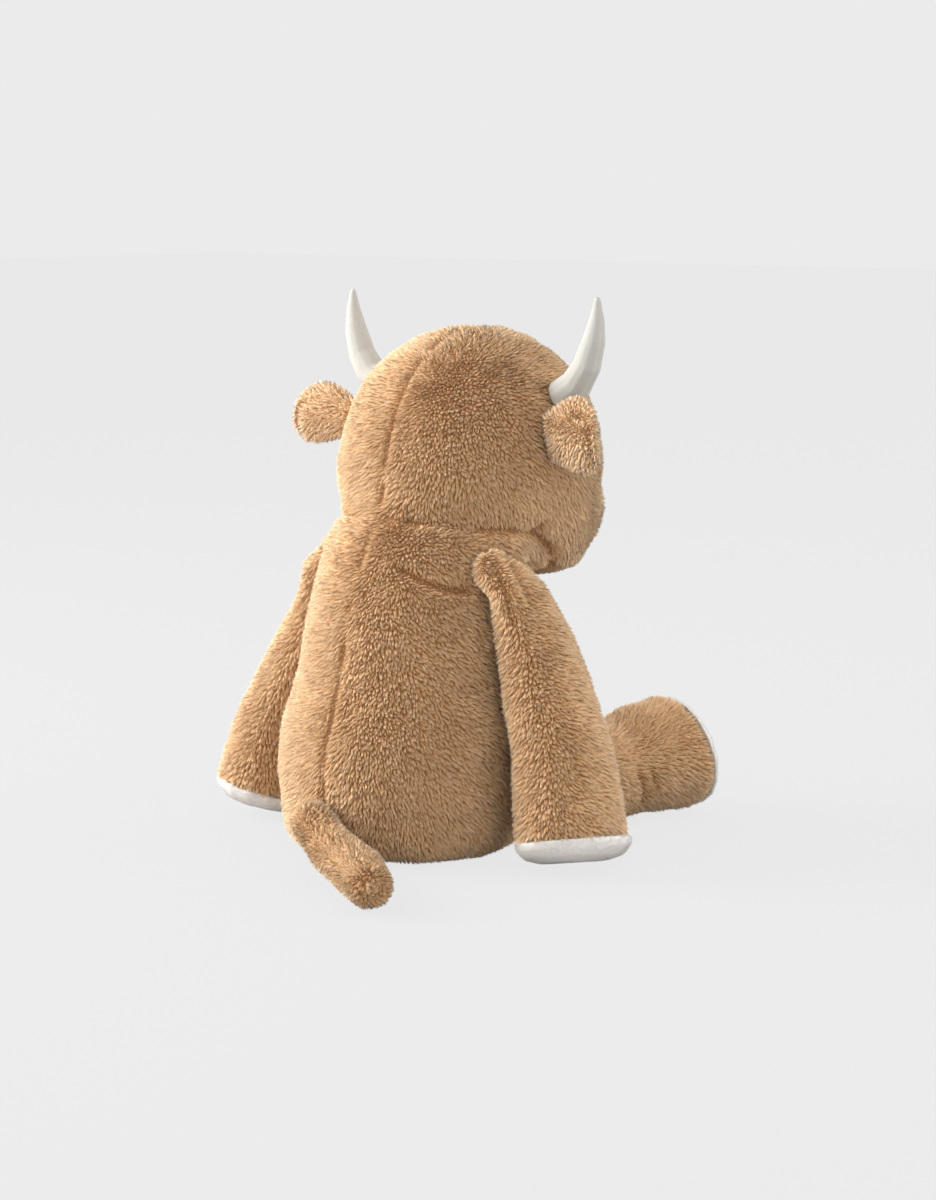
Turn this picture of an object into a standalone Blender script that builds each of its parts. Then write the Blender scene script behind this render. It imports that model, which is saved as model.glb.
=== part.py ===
"""Seated plush cow, built from its sewn covers, its pads, its horns and the stuffing inside."""

import math

import bmesh
import bpy
from mathutils import Matrix, Vector

# Everything is in metres with +Z up. The origin is on the floor, in the middle of the seat.
# The cow faces -Y, and its own left side is +X.

# Cloth and fit
PILE = 0.008
CLEARANCE = 0.0003
OVERRUN = 0.020
WELD = 0.00002

# Torso
TORSO_RADIUS = 0.096
NECK_HEIGHT = 0.249
NECK_FORWARD = 0.046
SEAT_SEAM_HEIGHT = 0.012
SIDE_SEAM_Y = 0.002
PELLET_RADIUS = 0.058
PELLET_HEIGHT = 0.030
PELLET_GAP = 0.0006

# Neck: the head turns on a shallow ball, round a wad of stuffing that stiffens the opening
NECK_RING_RADIUS = 0.0765
NECK_BALL_DROP = 0.041
NECK_RIM_TILT = math.radians(13.0)
NECK_WAD_RADIUS = 0.034
NECK_WAD_DEPTH = 0.0225
NECK_FILL_DROP = 0.006

# Head
HEAD_RADIUS = 0.100
HEAD_AHEAD = 0.033
HEAD_RISE = 0.037
HEAD_LOWEST = math.radians(-50.0)
HEAD_RIM_TILT = math.radians(6.0)
HEAD_LIFT = 0.0018
NECK_LAP = 0.0010
NAPE_FULLNESS_SHARE = 0.24
NAPE_TOP_SHARE = 0.35
NAPE_CURVE = 1.5
FACE_SEAM_AHEAD_SHARE = 0.02
FACE_SEAM_TILT = math.radians(24.0)

# Muzzle and its nose patch
MUZZLE_WIDTH = 0.116
MUZZLE_LENGTH = 0.110
MUZZLE_HEIGHT = 0.110
MUZZLE_AHEAD = 0.072
MUZZLE_DROP = 0.044
NOSE_THICKNESS = 0.0022
NOSE_REACH_SHARE = 0.58

# Eyes: a moulded dome on a shank, held by a washer inside the face
EYE_RADIUS = 0.0075
EYE_DOME = 0.0045
EYE_SHANK_RADIUS = 0.0022
EYE_SHANK_TAIL = 0.0050
EYE_ACROSS_SHARE = 0.46
EYE_RISE_SHARE = 0.17
EYE_WASHER_RADIUS = 0.0078
EYE_WASHER_THICKNESS = 0.0018
EYE_WASHER_SEAT = 0.0015

# Horns
HORN_RADIUS = 0.0135
HORN_WALL = 0.0018
HORN_REACH = 0.032
HORN_RISE = 0.074
HORN_ACROSS_SHARE = 0.87
HORN_AHEAD_SHARE = -0.015

# Ears
EAR_LENGTH = 0.050
EAR_HALF_HEIGHT = 0.0275
EAR_HALF_THICKNESS = 0.0075
EAR_SWEEP = 0.001
EAR_DROOP = 0.006
EAR_RISE_SHARE = 0.26
EAR_BACK_SHARE = 0.28
EAR_ROOT_SINK = 0.0005
EAR_EDGE_SHARE = 0.90
EAR_EDGE_CURVE = 4

# Arms
SHOULDER_HEIGHT = 0.214
SHOULDER_BACK = 0.044
SHOULDER_OUT = 0.0085
SHOULDER_BALL_RADIUS = 0.018
SHOULDER_BALL_REACH = math.radians(82.0)
ARM_GAP = 0.0024
ARM_FORWARD = 0.022
HAND_GAP = 0.014
HAND_HALF_WIDTH = 0.039
HAND_HALF_DEPTH = 0.048
HAND_PAD_DEPTH = 0.012
HAND_FLOOR_GAP = 0.0055

# Legs
HIP_HEIGHT = 0.045
HIP_OUT = 0.025
HIP_BALL_RADIUS = 0.042
HIP_SPREAD = math.radians(28.8)
LEG_SPLAY = math.radians(15.9)
LEG_LENGTH = 0.123
LEG_FLOOR_GAP = 0.0010
FOOT_RADIUS = 0.0465
FOOT_RISE = math.radians(14.0)
FOOT_RISE_CURVE = 3
SOLE_DEPTH = 0.009

# Tail
TAIL_HEIGHT = 0.034
TAIL_SIDE = -0.003
TAIL_OUT = 0.0125
TAIL_LENGTH = 0.150
TAIL_RADIUS = 0.0185
TAIL_BALL_RADIUS = 0.0165
TAIL_HEADING = math.radians(68.0)
TAIL_TURN = math.radians(-16.0)
TAIL_FLOOR_GAP = 0.0010
TAIL_SINK_CURVE = 6

# Faces round each form
TORSO_SIDES = 26
HEAD_SIDES = 26
HEAD_RINGS = 11
NECK_SEAT_SIDES = 96
NECK_SEAT_ROWS = 40
MUZZLE_SIDES = 16
LIMB_SIDES = 16
SOCKET_SIDES = 18
PELLET_SIDES = 14
SMALL_SIDES = 12
DOME_STEPS = 3
EYE_DOME_STEPS = 5
EAR_ARC_STEPS = 6
ROD_TWIST = math.radians(4.0)
FLAT_ANGLE = math.radians(0.2)
SHARP_ANGLE = math.radians(40.0)

# Torso outline: height, lean, half width and front reach
TORSO_STATION_SHARES = (
    (0.000, 0.00, 0.780, 0.780),
    (0.024, 0.00, 0.895, 0.895),
    (0.064, 0.00, 0.945, 0.950),
    (0.125, 0.01, 0.970, 0.980),
    (0.240, 0.02, 1.000, 1.010),
    (0.370, 0.09, 0.998, 1.000),
    (0.530, 0.23, 0.908, 0.905),
    (0.660, 0.28, 0.875, 0.850),
    (0.747, 0.33, 0.840, 0.800),
    (0.827, 0.48, 0.832, 0.710),
    (0.916, 0.72, 0.838, 0.590),
    (1.000, 1.00, 0.850, 0.470),
    (1.060, 1.15, 0.850, 0.400),
)

# Arm outline below the shoulder: way down, way forward, half width and half depth
ARM_STATION_SHARES = (
    (0.045, 0.14, 0.38, 0.50),
    (0.120, 0.54, 0.44, 0.66),
    (0.260, 0.92, 0.56, 0.81),
    (0.440, 0.90, 0.72, 0.87),
    (0.640, 0.80, 0.86, 0.91),
    (0.820, 0.66, 0.96, 0.97),
    (1.000, 0.45, 1.00, 1.00),
)

# Leg outline ahead of the hip: way along and radius
LEG_STATION_SHARES = (
    (0.20, 0.885),
    (0.45, 0.840),
    (0.65, 0.930),
    (0.83, 0.960),
    (0.94, 1.000),
    (1.00, 0.990),
)

# Tail outline behind its root: way along and radius
TAIL_STATION_SHARES = ((0.18, 0.96), (0.42, 1.00), (0.68, 1.00), (0.88, 0.96))

# Horn outline from root to tip: way out, way up and radius
HORN_STATION_SHARES = (
    (-0.35, -0.28, 1.05),
    (0.05, 0.02, 1.00),
    (0.42, 0.13, 0.90),
    (0.72, 0.32, 0.79),
    (0.90, 0.56, 0.66),
    (0.99, 0.80, 0.50),
    (1.00, 0.94, 0.36),
)

# Ear root inside the head: way out and thickness by the ear's thickness, and half height
EAR_ROOT_SHARES = ((-0.85, 0.53, 0.50), (-0.45, 0.88, 0.60))

# Ear outline from root to tip: way out and half height
EAR_STATION_SHARES = ((0.00, 0.62), (0.20, 0.80), (0.45, 0.98), (0.68, 1.00), (0.86, 0.82), (0.96, 0.54))

# Rounded edge of a pad: way out and radius
PAD_STATION_SHARES = ((0.00, 1.00), (0.45, 0.955), (0.80, 0.83), (1.00, 0.58))

# Levels of the rings that close a round end, and those of the pellet bag
TAIL_TIP_SHARES = (0.40, 0.72, 0.93)
HORN_TIP_SHARES = (0.50, 0.85)
PELLET_LEVEL_SHARES = (0.00, 0.35, 0.66, 0.87, 0.97)

TAN_FUR = (0.49, 0.30, 0.15)
WHITE_PLUSH = (0.80, 0.74, 0.70)
IVORY_CLOTH = (0.78, 0.75, 0.68)
STUFFING_WHITE = (0.85, 0.85, 0.83)
PELLET_CLOTH = (0.55, 0.55, 0.52)
EYE_BLACK = (0.012, 0.010, 0.010)
WASHER_WHITE = (0.70, 0.70, 0.68)

X_AXIS = Vector((1.0, 0.0, 0.0))
Y_AXIS = Vector((0.0, 1.0, 0.0))
Z_AXIS = Vector((0.0, 0.0, 1.0))
SIDES = ((1.0, "left"), (-1.0, "right"))

# The rim of the neck at the back, and what is placed from it
NECK_BACK = Vector((0.0, TORSO_RADIUS * TORSO_STATION_SHARES[-2][2] - NECK_FORWARD, NECK_HEIGHT))
NECK_PIVOT = Vector((0.0, -NECK_FORWARD, NECK_HEIGHT + NECK_BALL_DROP))
NECK_BALL_RADIUS = math.hypot(NECK_RING_RADIUS, NECK_BALL_DROP)
NECK_WAD_LOW = NECK_PIVOT - Z_AXIS * (NECK_BALL_RADIUS + NECK_WAD_DEPTH)
NECK_WAD_END = NECK_PIVOT - Z_AXIS * (NECK_BALL_RADIUS + OVERRUN)
HEAD_CENTRE = Vector((0.0, -NECK_FORWARD - HEAD_AHEAD, NECK_HEIGHT + HEAD_RISE))
MUZZLE_CENTRE = HEAD_CENTRE + Vector((0.0, -MUZZLE_AHEAD, -MUZZLE_DROP))
MUZZLE_RADII = Vector((MUZZLE_WIDTH, MUZZLE_LENGTH, MUZZLE_HEIGHT)) / 2
EYE_WASHER_FRONT = -PILE - EYE_WASHER_SEAT
EYE_TAIL_END = EYE_WASHER_FRONT - EYE_WASHER_THICKNESS - EYE_SHANK_TAIL


def clear_scene():
    for item in list(bpy.data.objects):
        bpy.data.objects.remove(item, do_unlink=True)


def make_material(name, colour, roughness):
    material = bpy.data.materials.new(name)
    material.use_nodes = True
    shader = material.node_tree.nodes["Principled BSDF"]
    shader.inputs["Base Color"].default_value = (*colour, 1.0)
    shader.inputs["Roughness"].default_value = roughness
    shader.inputs["Metallic"].default_value = 0.0
    return material


def finish_mesh(name, shape):
    bmesh.ops.triangulate(shape, faces=shape.faces)
    mesh = bpy.data.meshes.new(name)
    shape.to_mesh(mesh)
    shape.free()
    return mesh


def ring(centre, across, along, half_width, reach, back_reach, sides):
    """Closed ring with its own reach towards +along and -along."""
    points = []
    for step in range(sides):
        angle = 2.0 * math.pi * step / sides
        share = math.cos(angle)
        depth = reach if share > 0.0 else back_reach
        points.append(centre + across * half_width * math.sin(angle) + along * depth * share)
    return points


def round_ring(centre, across, along, radius, sides):
    return ring(centre, across, along, radius, radius, radius, sides)


def add_loft(shape, rings, start=None, end=None):
    """Skin rings of equal counts, closing each end on a pole or with a flat face."""
    loops = [[shape.verts.new(point) for point in points] for points in rings]
    count = len(loops[0])
    for low, high in zip(loops, loops[1:]):
        for step in range(count):
            turn = (step + 1) % count
            shape.faces.new((low[step], low[turn], high[turn], high[step]))
    for loop, pole in ((loops[0], start), (loops[-1], end)):
        if pole is None:
            shape.faces.new(loop)
            continue
        tip = shape.verts.new(pole)
        for step in range(count):
            shape.faces.new((loop[step], loop[(step + 1) % count], tip))


def loft_mesh(name, rings, start=None, end=None):
    shape = bmesh.new()
    add_loft(shape, rings, start, end)
    bmesh.ops.recalc_face_normals(shape, faces=shape.faces)
    return finish_mesh(name, shape)


def sleeve_mesh(name, outer, outer_pole, inner, inner_pole):
    """Closed-ended sleeve: outer rings from the pole to the rim, and inner rings back again."""
    return loft_mesh(name, outer + inner[::-1], outer_pole, inner_pole)


def ball_mesh(name, centre, radii, sides):
    shape = bmesh.new()
    place = Matrix.Translation(centre) @ Matrix.Diagonal((*radii, 1.0))
    bmesh.ops.create_uvsphere(shape, u_segments=sides, v_segments=sides // 2, radius=1.0, matrix=place)
    return finish_mesh(name, shape)


def sphere_mesh(name, centre, radius, sides):
    return ball_mesh(name, centre, Vector((radius, radius, radius)), sides)


def rod_mesh(name, start, end, radius, sides):
    """Straight round rod between two points, twisted off the meridians of the forms it cuts."""
    direction = (end - start).normalized()
    across = Matrix.Rotation(ROD_TWIST, 3, direction) @ direction.orthogonal().normalized()
    along = direction.cross(across)
    rings = [round_ring(point, across, along, radius, sides) for point in (start, end)]
    return loft_mesh(name, rings)


def box_mesh(name, low, high, turn=None):
    shape = bmesh.new()
    place = Matrix.Translation((low + high) / 2) @ Matrix.Diagonal((*(high - low), 1.0))
    bmesh.ops.create_cube(shape, size=1.0, matrix=place)
    if turn is not None:
        bmesh.ops.transform(shape, matrix=turn, verts=shape.verts)
    return finish_mesh(name, shape)


def carve(mesh, operation, *tools):
    """Boolean of a mesh with each tool mesh in turn, which are used up."""
    for tool in tools:
        target = bpy.data.objects.new("carve_target", mesh)
        cutter = bpy.data.objects.new("carve_tool", tool)
        cutter.hide_render = True
        cutter.display_type = "WIRE"
        for item in (target, cutter):
            bpy.context.scene.collection.objects.link(item)
        modifier = target.modifiers.new("carve", "BOOLEAN")
        modifier.operation = operation
        modifier.solver = "EXACT"
        modifier.object = cutter
        graph = bpy.context.evaluated_depsgraph_get()
        result = bmesh.new()
        result.from_mesh(bpy.data.meshes.new_from_object(target.evaluated_get(graph)))
        bpy.data.objects.remove(target)
        bpy.data.objects.remove(cutter)
        bmesh.ops.remove_doubles(result, verts=result.verts, dist=WELD)
        mesh = finish_mesh(tool.name, result)
    return mesh


def subtract(mesh, *tools):
    return carve(mesh, "DIFFERENCE", *tools)


def join(mesh, *tools):
    return carve(mesh, "UNION", *tools)


def keep_inside(mesh, *tools):
    return carve(mesh, "INTERSECT", *tools)


def panel(mesh, low, high, turn=None):
    """The part of a shell that lies inside a box, as one cut of cloth."""
    return keep_inside(mesh, box_mesh("panel", Vector(low), Vector(high), turn))


def cut_flat(mesh, point, normal):
    """Drop what lies on the side that the normal points to, and close the cut with a flat face."""
    shape = bmesh.new()
    shape.from_mesh(mesh)
    parts = shape.verts[:] + shape.edges[:] + shape.faces[:]
    cut = bmesh.ops.bisect_plane(shape, geom=parts, plane_co=point, plane_no=normal, clear_outer=True)
    rim = [item for item in cut["geom_cut"] if isinstance(item, bmesh.types.BMEdge)]
    bmesh.ops.contextual_create(shape, geom=rim)
    bmesh.ops.recalc_face_normals(shape, faces=shape.faces)
    return finish_mesh(mesh.name, shape)


def make_body(name, pivot, parent=None):
    """Empty on a joint, which carries the pieces that move together."""
    body = bpy.data.objects.new(name, None)
    bpy.context.scene.collection.objects.link(body)
    body.parent = parent
    body.location = pivot - (parent.matrix_world.translation if parent else Vector())
    bpy.context.view_layer.update()
    return body


def make_piece(name, mesh, material, body):
    """One named solid, whose origin lies on the joint of the body that carries it."""
    shape = bmesh.new()
    shape.from_mesh(mesh)
    bmesh.ops.dissolve_limit(shape, verts=shape.verts, edges=shape.edges, angle_limit=FLAT_ANGLE)
    mesh = finish_mesh(name, shape)
    mesh.transform(Matrix.Translation(-body.matrix_world.translation))
    mesh.materials.clear()
    own = material.copy()
    own.name = name
    mesh.materials.append(own)
    mesh.shade_smooth()
    mesh.set_sharp_from_angle(angle=SHARP_ANGLE)
    piece = bpy.data.objects.new(name, mesh)
    bpy.context.scene.collection.objects.link(piece)
    piece.parent = body


def round_fit(radius, sides):
    """Corner radius of a many-sided bore whose flats still clear a rod of this radius."""
    return (radius + CLEARANCE) / math.cos(math.pi / sides)


def ball_fit(radius, sides):
    """Corner radius of a faceted socket whose flats still clear a ball of this radius."""
    return round_fit(radius, sides) / math.cos(math.pi / sides)


def ring_frames(points):
    """Each point of a path with the direction of the path there."""
    frames = []
    for step, point in enumerate(points):
        ahead = points[min(step + 1, len(points) - 1)]
        behind = points[max(step - 1, 0)]
        frames.append((point, (ahead - behind).normalized()))
    return frames


def root_dome(pivot, axes, radius, sides, reach=math.pi / 2):
    """Rings of the ball that a limb turns on, from its pole to the ring at the reach."""
    way, across, along = axes
    rings = []
    for step in range(1, DOME_STEPS + 1):
        angle = reach * step / DOME_STEPS
        centre = pivot - way * radius * math.cos(angle)
        rings.append(round_ring(centre, across, along, radius * math.sin(angle), sides))
    return rings


def round_end(centre, axes, radius, sides, level_shares):
    """Rings that round off the end of a limb, and the pole they close on."""
    way, across, along = axes
    rings = []
    for share in level_shares:
        spread = radius * math.sqrt(1.0 - share * share)
        rings.append(round_ring(centre + way * radius * share, across, along, spread, sides))
    return rings, centre + way * radius


def turned_mesh(name, place, way, profile, sides):
    """Solid turned about a line: profile holds distance along and radius, ends on the line."""
    across = way.orthogonal().normalized()
    along = way.cross(across)
    rings = [round_ring(place + way * out, across, along, radius, sides) for out, radius in profile[1:-1]]
    return loft_mesh(name, rings, place + way * profile[0][0], place + way * profile[-1][0])


def between(table, level, column):
    """Read a column of a share table at any level of its first column."""
    for low, high in zip(table, table[1:]):
        if level <= high[0]:
            way = (level - low[0]) / (high[0] - low[0])
            return low[column] + (high[column] - low[column]) * way
    return table[-1][column]


def torso_section(height):
    """Middle y, half width and front reach of the torso at a height."""
    level = height / NECK_HEIGHT
    lean = between(TORSO_STATION_SHARES, level, 1) * NECK_FORWARD
    half_width = between(TORSO_STATION_SHARES, level, 2) * TORSO_RADIUS
    front = between(TORSO_STATION_SHARES, level, 3) * TORSO_RADIUS
    return -lean, half_width, front


def torso_side(height, depth):
    """Half width of the torso where its surface has the given y."""
    middle, half_width, front = torso_section(height)
    reach = front if depth < middle else half_width
    share = min(1.0, abs(depth - middle) / reach)
    return half_width * math.sqrt(1.0 - share * share)


def torso_form(inset, lift=0.0):
    """Body of the cow up to the rim of the neck, which the lift can raise."""
    rings = []
    for level, lean, width, front in TORSO_STATION_SHARES:
        centre = Vector((0.0, -lean * NECK_FORWARD, max(level * NECK_HEIGHT, inset)))
        half_width = width * TORSO_RADIUS - inset
        reach = front * TORSO_RADIUS - inset
        rings.append(ring(centre, X_AXIS, -Y_AXIS, half_width, reach, half_width, TORSO_SIDES))
    rim = Vector((0.0, -math.sin(NECK_RIM_TILT), math.cos(NECK_RIM_TILT)))
    return cut_flat(loft_mesh("torso", rings), NECK_BACK + Z_AXIS * lift, rim)


def neck_cup():
    return sphere_mesh("neck_cup", NECK_PIVOT, ball_fit(NECK_BALL_RADIUS, HEAD_SIDES), HEAD_SIDES)


def neck_seat(radius):
    """Ball round the nodding axis, with fine steps that way, where the head sits on the neck wad."""
    shape = bmesh.new()
    place = Matrix.Translation(NECK_PIVOT) @ Matrix.Rotation(math.pi / 2, 4, "Y")
    bmesh.ops.create_uvsphere(shape, u_segments=NECK_SEAT_SIDES, v_segments=NECK_SEAT_ROWS, radius=radius,
                              matrix=place)
    return finish_mesh("neck_seat", shape)


def limb_sockets():
    """Hollows in the torso that the arms, the legs and the tail turn in."""
    balls = [(tail_pivot(), TAIL_BALL_RADIUS)]
    for side, _ in SIDES:
        balls.append((arm_pivot(side), SHOULDER_BALL_RADIUS))
        balls.append((leg_pivot(side), HIP_BALL_RADIUS))
    sockets = []
    for pivot, radius in balls:
        sockets.append(sphere_mesh("socket", pivot, ball_fit(radius, SOCKET_SIDES), SOCKET_SIDES))
    return sockets


def pellet_rings(gap):
    """Rings of the pellet bag, or of its pocket, where the gap makes it wider and taller."""
    rings = []
    for share in PELLET_LEVEL_SHARES:
        radius = (PELLET_RADIUS + gap) * math.sqrt(1.0 - share * share)
        centre = Z_AXIS * (PILE + CLEARANCE + (PELLET_HEIGHT + gap) * share)
        rings.append(round_ring(centre, X_AXIS, Y_AXIS, radius, PELLET_SIDES))
    return rings


def pellet_pocket():
    rings = pellet_rings(PELLET_GAP)
    return loft_mesh("pellet_pocket", [[point - Z_AXIS * OVERRUN for point in rings[0]]] + rings)


def build_torso(body, materials):
    """Two back covers, a belly cover and a seat, round the stuffing and a bag of pellets."""
    shell = subtract(torso_form(0.0), torso_form(PILE, OVERRUN), neck_cup(), *limb_sockets())
    reach = NECK_HEIGHT + OVERRUN
    half = CLEARANCE / 2
    base = SEAT_SEAM_HEIGHT + CLEARANCE
    seam = SIDE_SEAM_Y
    fur = materials["fur"]
    make_piece("back_cover_left", panel(shell, (half, seam, base), (reach, reach, reach)), fur, body)
    make_piece("back_cover_right", panel(shell, (-reach, seam, base), (-half, reach, reach)), fur, body)
    front = seam - CLEARANCE
    make_piece("belly_cover", panel(shell, (-reach, -reach, base), (reach, front, reach)), fur, body)
    low = (-reach, -reach, -OVERRUN)
    make_piece("seat_cover", panel(shell, low, (reach, reach, SEAT_SEAM_HEIGHT)), fur, body)
    make_piece("pellet_bag", loft_mesh("pellet_bag", pellet_rings(0.0)), materials["pellet"], body)

    wad_radius = round_fit(NECK_WAD_RADIUS, HEAD_SIDES)
    wad_low = NECK_WAD_LOW - Z_AXIS * CLEARANCE
    wad_pocket = rod_mesh("wad_pocket", wad_low, NECK_PIVOT, wad_radius, HEAD_SIDES)
    core = torso_form(PILE + CLEARANCE, -NECK_FILL_DROP)
    core = subtract(core, pellet_pocket(), neck_cup(), wad_pocket, *limb_sockets())
    make_piece("torso_stuffing", core, materials["stuffing"], body)


def build_neck(body, materials):
    wad = rod_mesh("neck_stuffing", NECK_WAD_LOW, NECK_PIVOT, NECK_WAD_RADIUS, HEAD_SIDES)
    seat = neck_seat(ball_fit(NECK_BALL_RADIUS, NECK_SEAT_ROWS + NECK_SEAT_ROWS))
    make_piece("neck_stuffing", subtract(wad, seat), materials["stuffing"], body)


def head_skull(inset):
    """Round head with a fuller nape, cut along the rim that faces the shoulders."""
    radius = HEAD_RADIUS - inset
    rings = []
    for step in range(HEAD_RINGS):
        angle = HEAD_LOWEST + (math.pi / 2 - HEAD_LOWEST) * step / HEAD_RINGS
        rise = math.sin(angle)
        width = radius * math.cos(angle)
        nape = max(0.0, NAPE_TOP_SHARE - rise) ** NAPE_CURVE * NAPE_FULLNESS_SHARE
        centre = HEAD_CENTRE + Z_AXIS * radius * rise
        rings.append(ring(centre, X_AXIS, Y_AXIS, width, width * (1.0 + nape), width, HEAD_SIDES))
    skull = loft_mesh("head", rings, end=HEAD_CENTRE + Z_AXIS * radius)
    rim = Vector((0.0, math.sin(HEAD_RIM_TILT), -math.cos(HEAD_RIM_TILT)))
    return cut_flat(skull, NECK_BACK + Z_AXIS * (HEAD_LIFT + inset), rim)


def neck_cap(inset):
    """The part of the neck ball below the rim of the head."""
    cap = sphere_mesh("neck_cap", NECK_PIVOT, NECK_BALL_RADIUS - inset, HEAD_SIDES)
    rim = Vector((0.0, -math.sin(HEAD_RIM_TILT), math.cos(HEAD_RIM_TILT)))
    lift = HEAD_LIFT + NECK_LAP + (PILE if inset > 0.0 else 0.0)
    return cut_flat(cap, NECK_BACK + Z_AXIS * lift, rim)


def muzzle_form(inset):
    return ball_mesh("muzzle", MUZZLE_CENTRE, MUZZLE_RADII - Vector((inset, inset, inset)), MUZZLE_SIDES)


def head_form(inset):
    return join(head_skull(inset), neck_cap(inset), muzzle_form(inset))


def on_head(across, ahead, rise):
    """Point on the head and its outward direction, from a direction out of the head's middle."""
    way = Vector((across, -ahead, rise)).normalized()
    return HEAD_CENTRE + way * HEAD_RADIUS, way


def eye_place(side):
    """Where the shank crosses the face, and its way out."""
    ahead = math.sqrt(1.0 - EYE_ACROSS_SHARE ** 2 - EYE_RISE_SHARE ** 2)
    return on_head(side * EYE_ACROSS_SHARE, ahead, EYE_RISE_SHARE)


def eye_mesh(side):
    place, way = eye_place(side)
    profile = [
        (EYE_TAIL_END, 0.0),
        (EYE_TAIL_END, EYE_SHANK_RADIUS),
        (CLEARANCE, EYE_SHANK_RADIUS),
        (CLEARANCE, EYE_RADIUS),
    ]
    for step in range(1, EYE_DOME_STEPS):
        angle = math.pi / 2 * step / EYE_DOME_STEPS
        profile.append((CLEARANCE + EYE_DOME * math.sin(angle), EYE_RADIUS * math.cos(angle)))
    profile.append((CLEARANCE + EYE_DOME, 0.0))
    return turned_mesh("eye", place, way, profile, SMALL_SIDES)


def eye_rod(side, start, end, radius):
    """Rod on the line of an eye's shank, between two distances from the face."""
    place, way = eye_place(side)
    return rod_mesh("eye_rod", place + way * start, place + way * end, radius, SMALL_SIDES)


def shank_bore(side):
    return eye_rod(side, EYE_TAIL_END - OVERRUN, OVERRUN, EYE_SHANK_RADIUS + CLEARANCE)


def washer_mesh(side):
    back = EYE_WASHER_FRONT - EYE_WASHER_THICKNESS
    return subtract(eye_rod(side, back, EYE_WASHER_FRONT, EYE_WASHER_RADIUS), shank_bore(side))


def washer_pocket(side):
    return eye_rod(side, EYE_TAIL_END - CLEARANCE, 0.0, EYE_WASHER_RADIUS + CLEARANCE)


def build_head(body, materials):
    """Two back covers and a face round the stuffing, with the nose, the eyes and the horns."""
    neck_hole = rod_mesh("neck_hole", NECK_WAD_END, NECK_PIVOT, NECK_WAD_RADIUS, HEAD_SIDES)
    shell = subtract(head_form(0.0), head_form(PILE), neck_hole, *[shank_bore(side) for side, _ in SIDES])
    reach = HEAD_RADIUS + HEAD_RADIUS + MUZZLE_LENGTH
    half = CLEARANCE / 2
    seam = HEAD_CENTRE - Y_AXIS * FACE_SEAM_AHEAD_SHARE * HEAD_RADIUS
    turn = Matrix.Translation(seam) @ Matrix.Rotation(FACE_SEAM_TILT, 4, "X")
    fur = materials["fur"]
    high = (reach, reach, reach)
    low = (-reach, half, -reach)
    make_piece("head_back_left", panel(shell, (half, half, -reach), high, turn), fur, body)
    make_piece("head_back_right", panel(shell, low, (-half, reach, reach), turn), fur, body)
    make_piece("face_cover", panel(shell, (-reach, -reach, -reach), (reach, -half, reach), turn), fur, body)

    plug = rod_mesh("neck_plug", NECK_WAD_END, NECK_PIVOT, NECK_WAD_RADIUS - CLEARANCE, HEAD_SIDES)
    core = join(head_form(PILE + CLEARANCE), keep_inside(plug, neck_seat(NECK_BALL_RADIUS)))
    core = subtract(core, *[washer_pocket(side) for side, _ in SIDES])
    make_piece("head_stuffing", core, materials["stuffing"], body)

    front = -NOSE_REACH_SHARE * MUZZLE_RADII.y
    low = MUZZLE_CENTRE + Vector((-MUZZLE_WIDTH, -MUZZLE_LENGTH, -MUZZLE_HEIGHT))
    high = MUZZLE_CENTRE + Vector((MUZZLE_WIDTH, front, MUZZLE_HEIGHT))
    nose = subtract(muzzle_form(-NOSE_THICKNESS), muzzle_form(-CLEARANCE))
    make_piece("nose_pad", panel(nose, low, high), materials["pad"], body)

    for side, word in SIDES:
        make_piece("eye_" + word, eye_mesh(side), materials["eye"], body)
        make_piece("eye_washer_" + word, washer_mesh(side), materials["washer"], body)
        build_horn(side, word, body, materials)


def horn_rings(side, inset):
    """Rings of a horn from its tip down to its root, which leaves the head sideways."""
    rise = math.sqrt(1.0 - HORN_ACROSS_SHARE ** 2)
    root, _ = on_head(side * HORN_ACROSS_SHARE, HORN_AHEAD_SHARE, rise)
    points = []
    for out, up, _ in HORN_STATION_SHARES:
        points.append(root + Vector((side * out * HORN_REACH, 0.0, up * HORN_RISE)))
    rings = []
    for (centre, way), (_, _, width) in zip(ring_frames(points), HORN_STATION_SHARES):
        across = way.cross(Y_AXIS).normalized()
        radius = width * HORN_RADIUS - inset
        rings.append(round_ring(centre, across, across.cross(way), radius, SMALL_SIDES))
    axes = (way, across, across.cross(way))
    end, tip = round_end(centre, axes, radius, SMALL_SIDES, HORN_TIP_SHARES)
    return (rings + end)[::-1], tip


def build_horn(side, word, body, materials):
    outer, tip = horn_rings(side, 0.0)
    inner, inner_tip = horn_rings(side, HORN_WALL)
    core, core_tip = horn_rings(side, HORN_WALL + CLEARANCE)
    cover = sleeve_mesh("horn_cover", outer, tip, inner, inner_tip)
    filling = loft_mesh("horn_stuffing", core, core_tip)
    skull = head_skull(-CLEARANCE)
    make_piece("horn_cover_" + word, subtract(cover, skull), materials["horn"], body)
    make_piece("horn_stuffing_" + word, subtract(filling, skull), materials["stuffing"], body)


def ear_root(side):
    """Pivot of an ear, its way out and its upright, which lies along the head."""
    place, way = on_head(side, -EAR_BACK_SHARE, EAR_RISE_SHARE)
    upright = (Z_AXIS - way * way.z).normalized()
    out = (X_AXIS * side - upright * (upright.x * side)).normalized()
    return place + way * (EAR_HALF_THICKNESS - EAR_ROOT_SINK), out, upright


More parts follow.
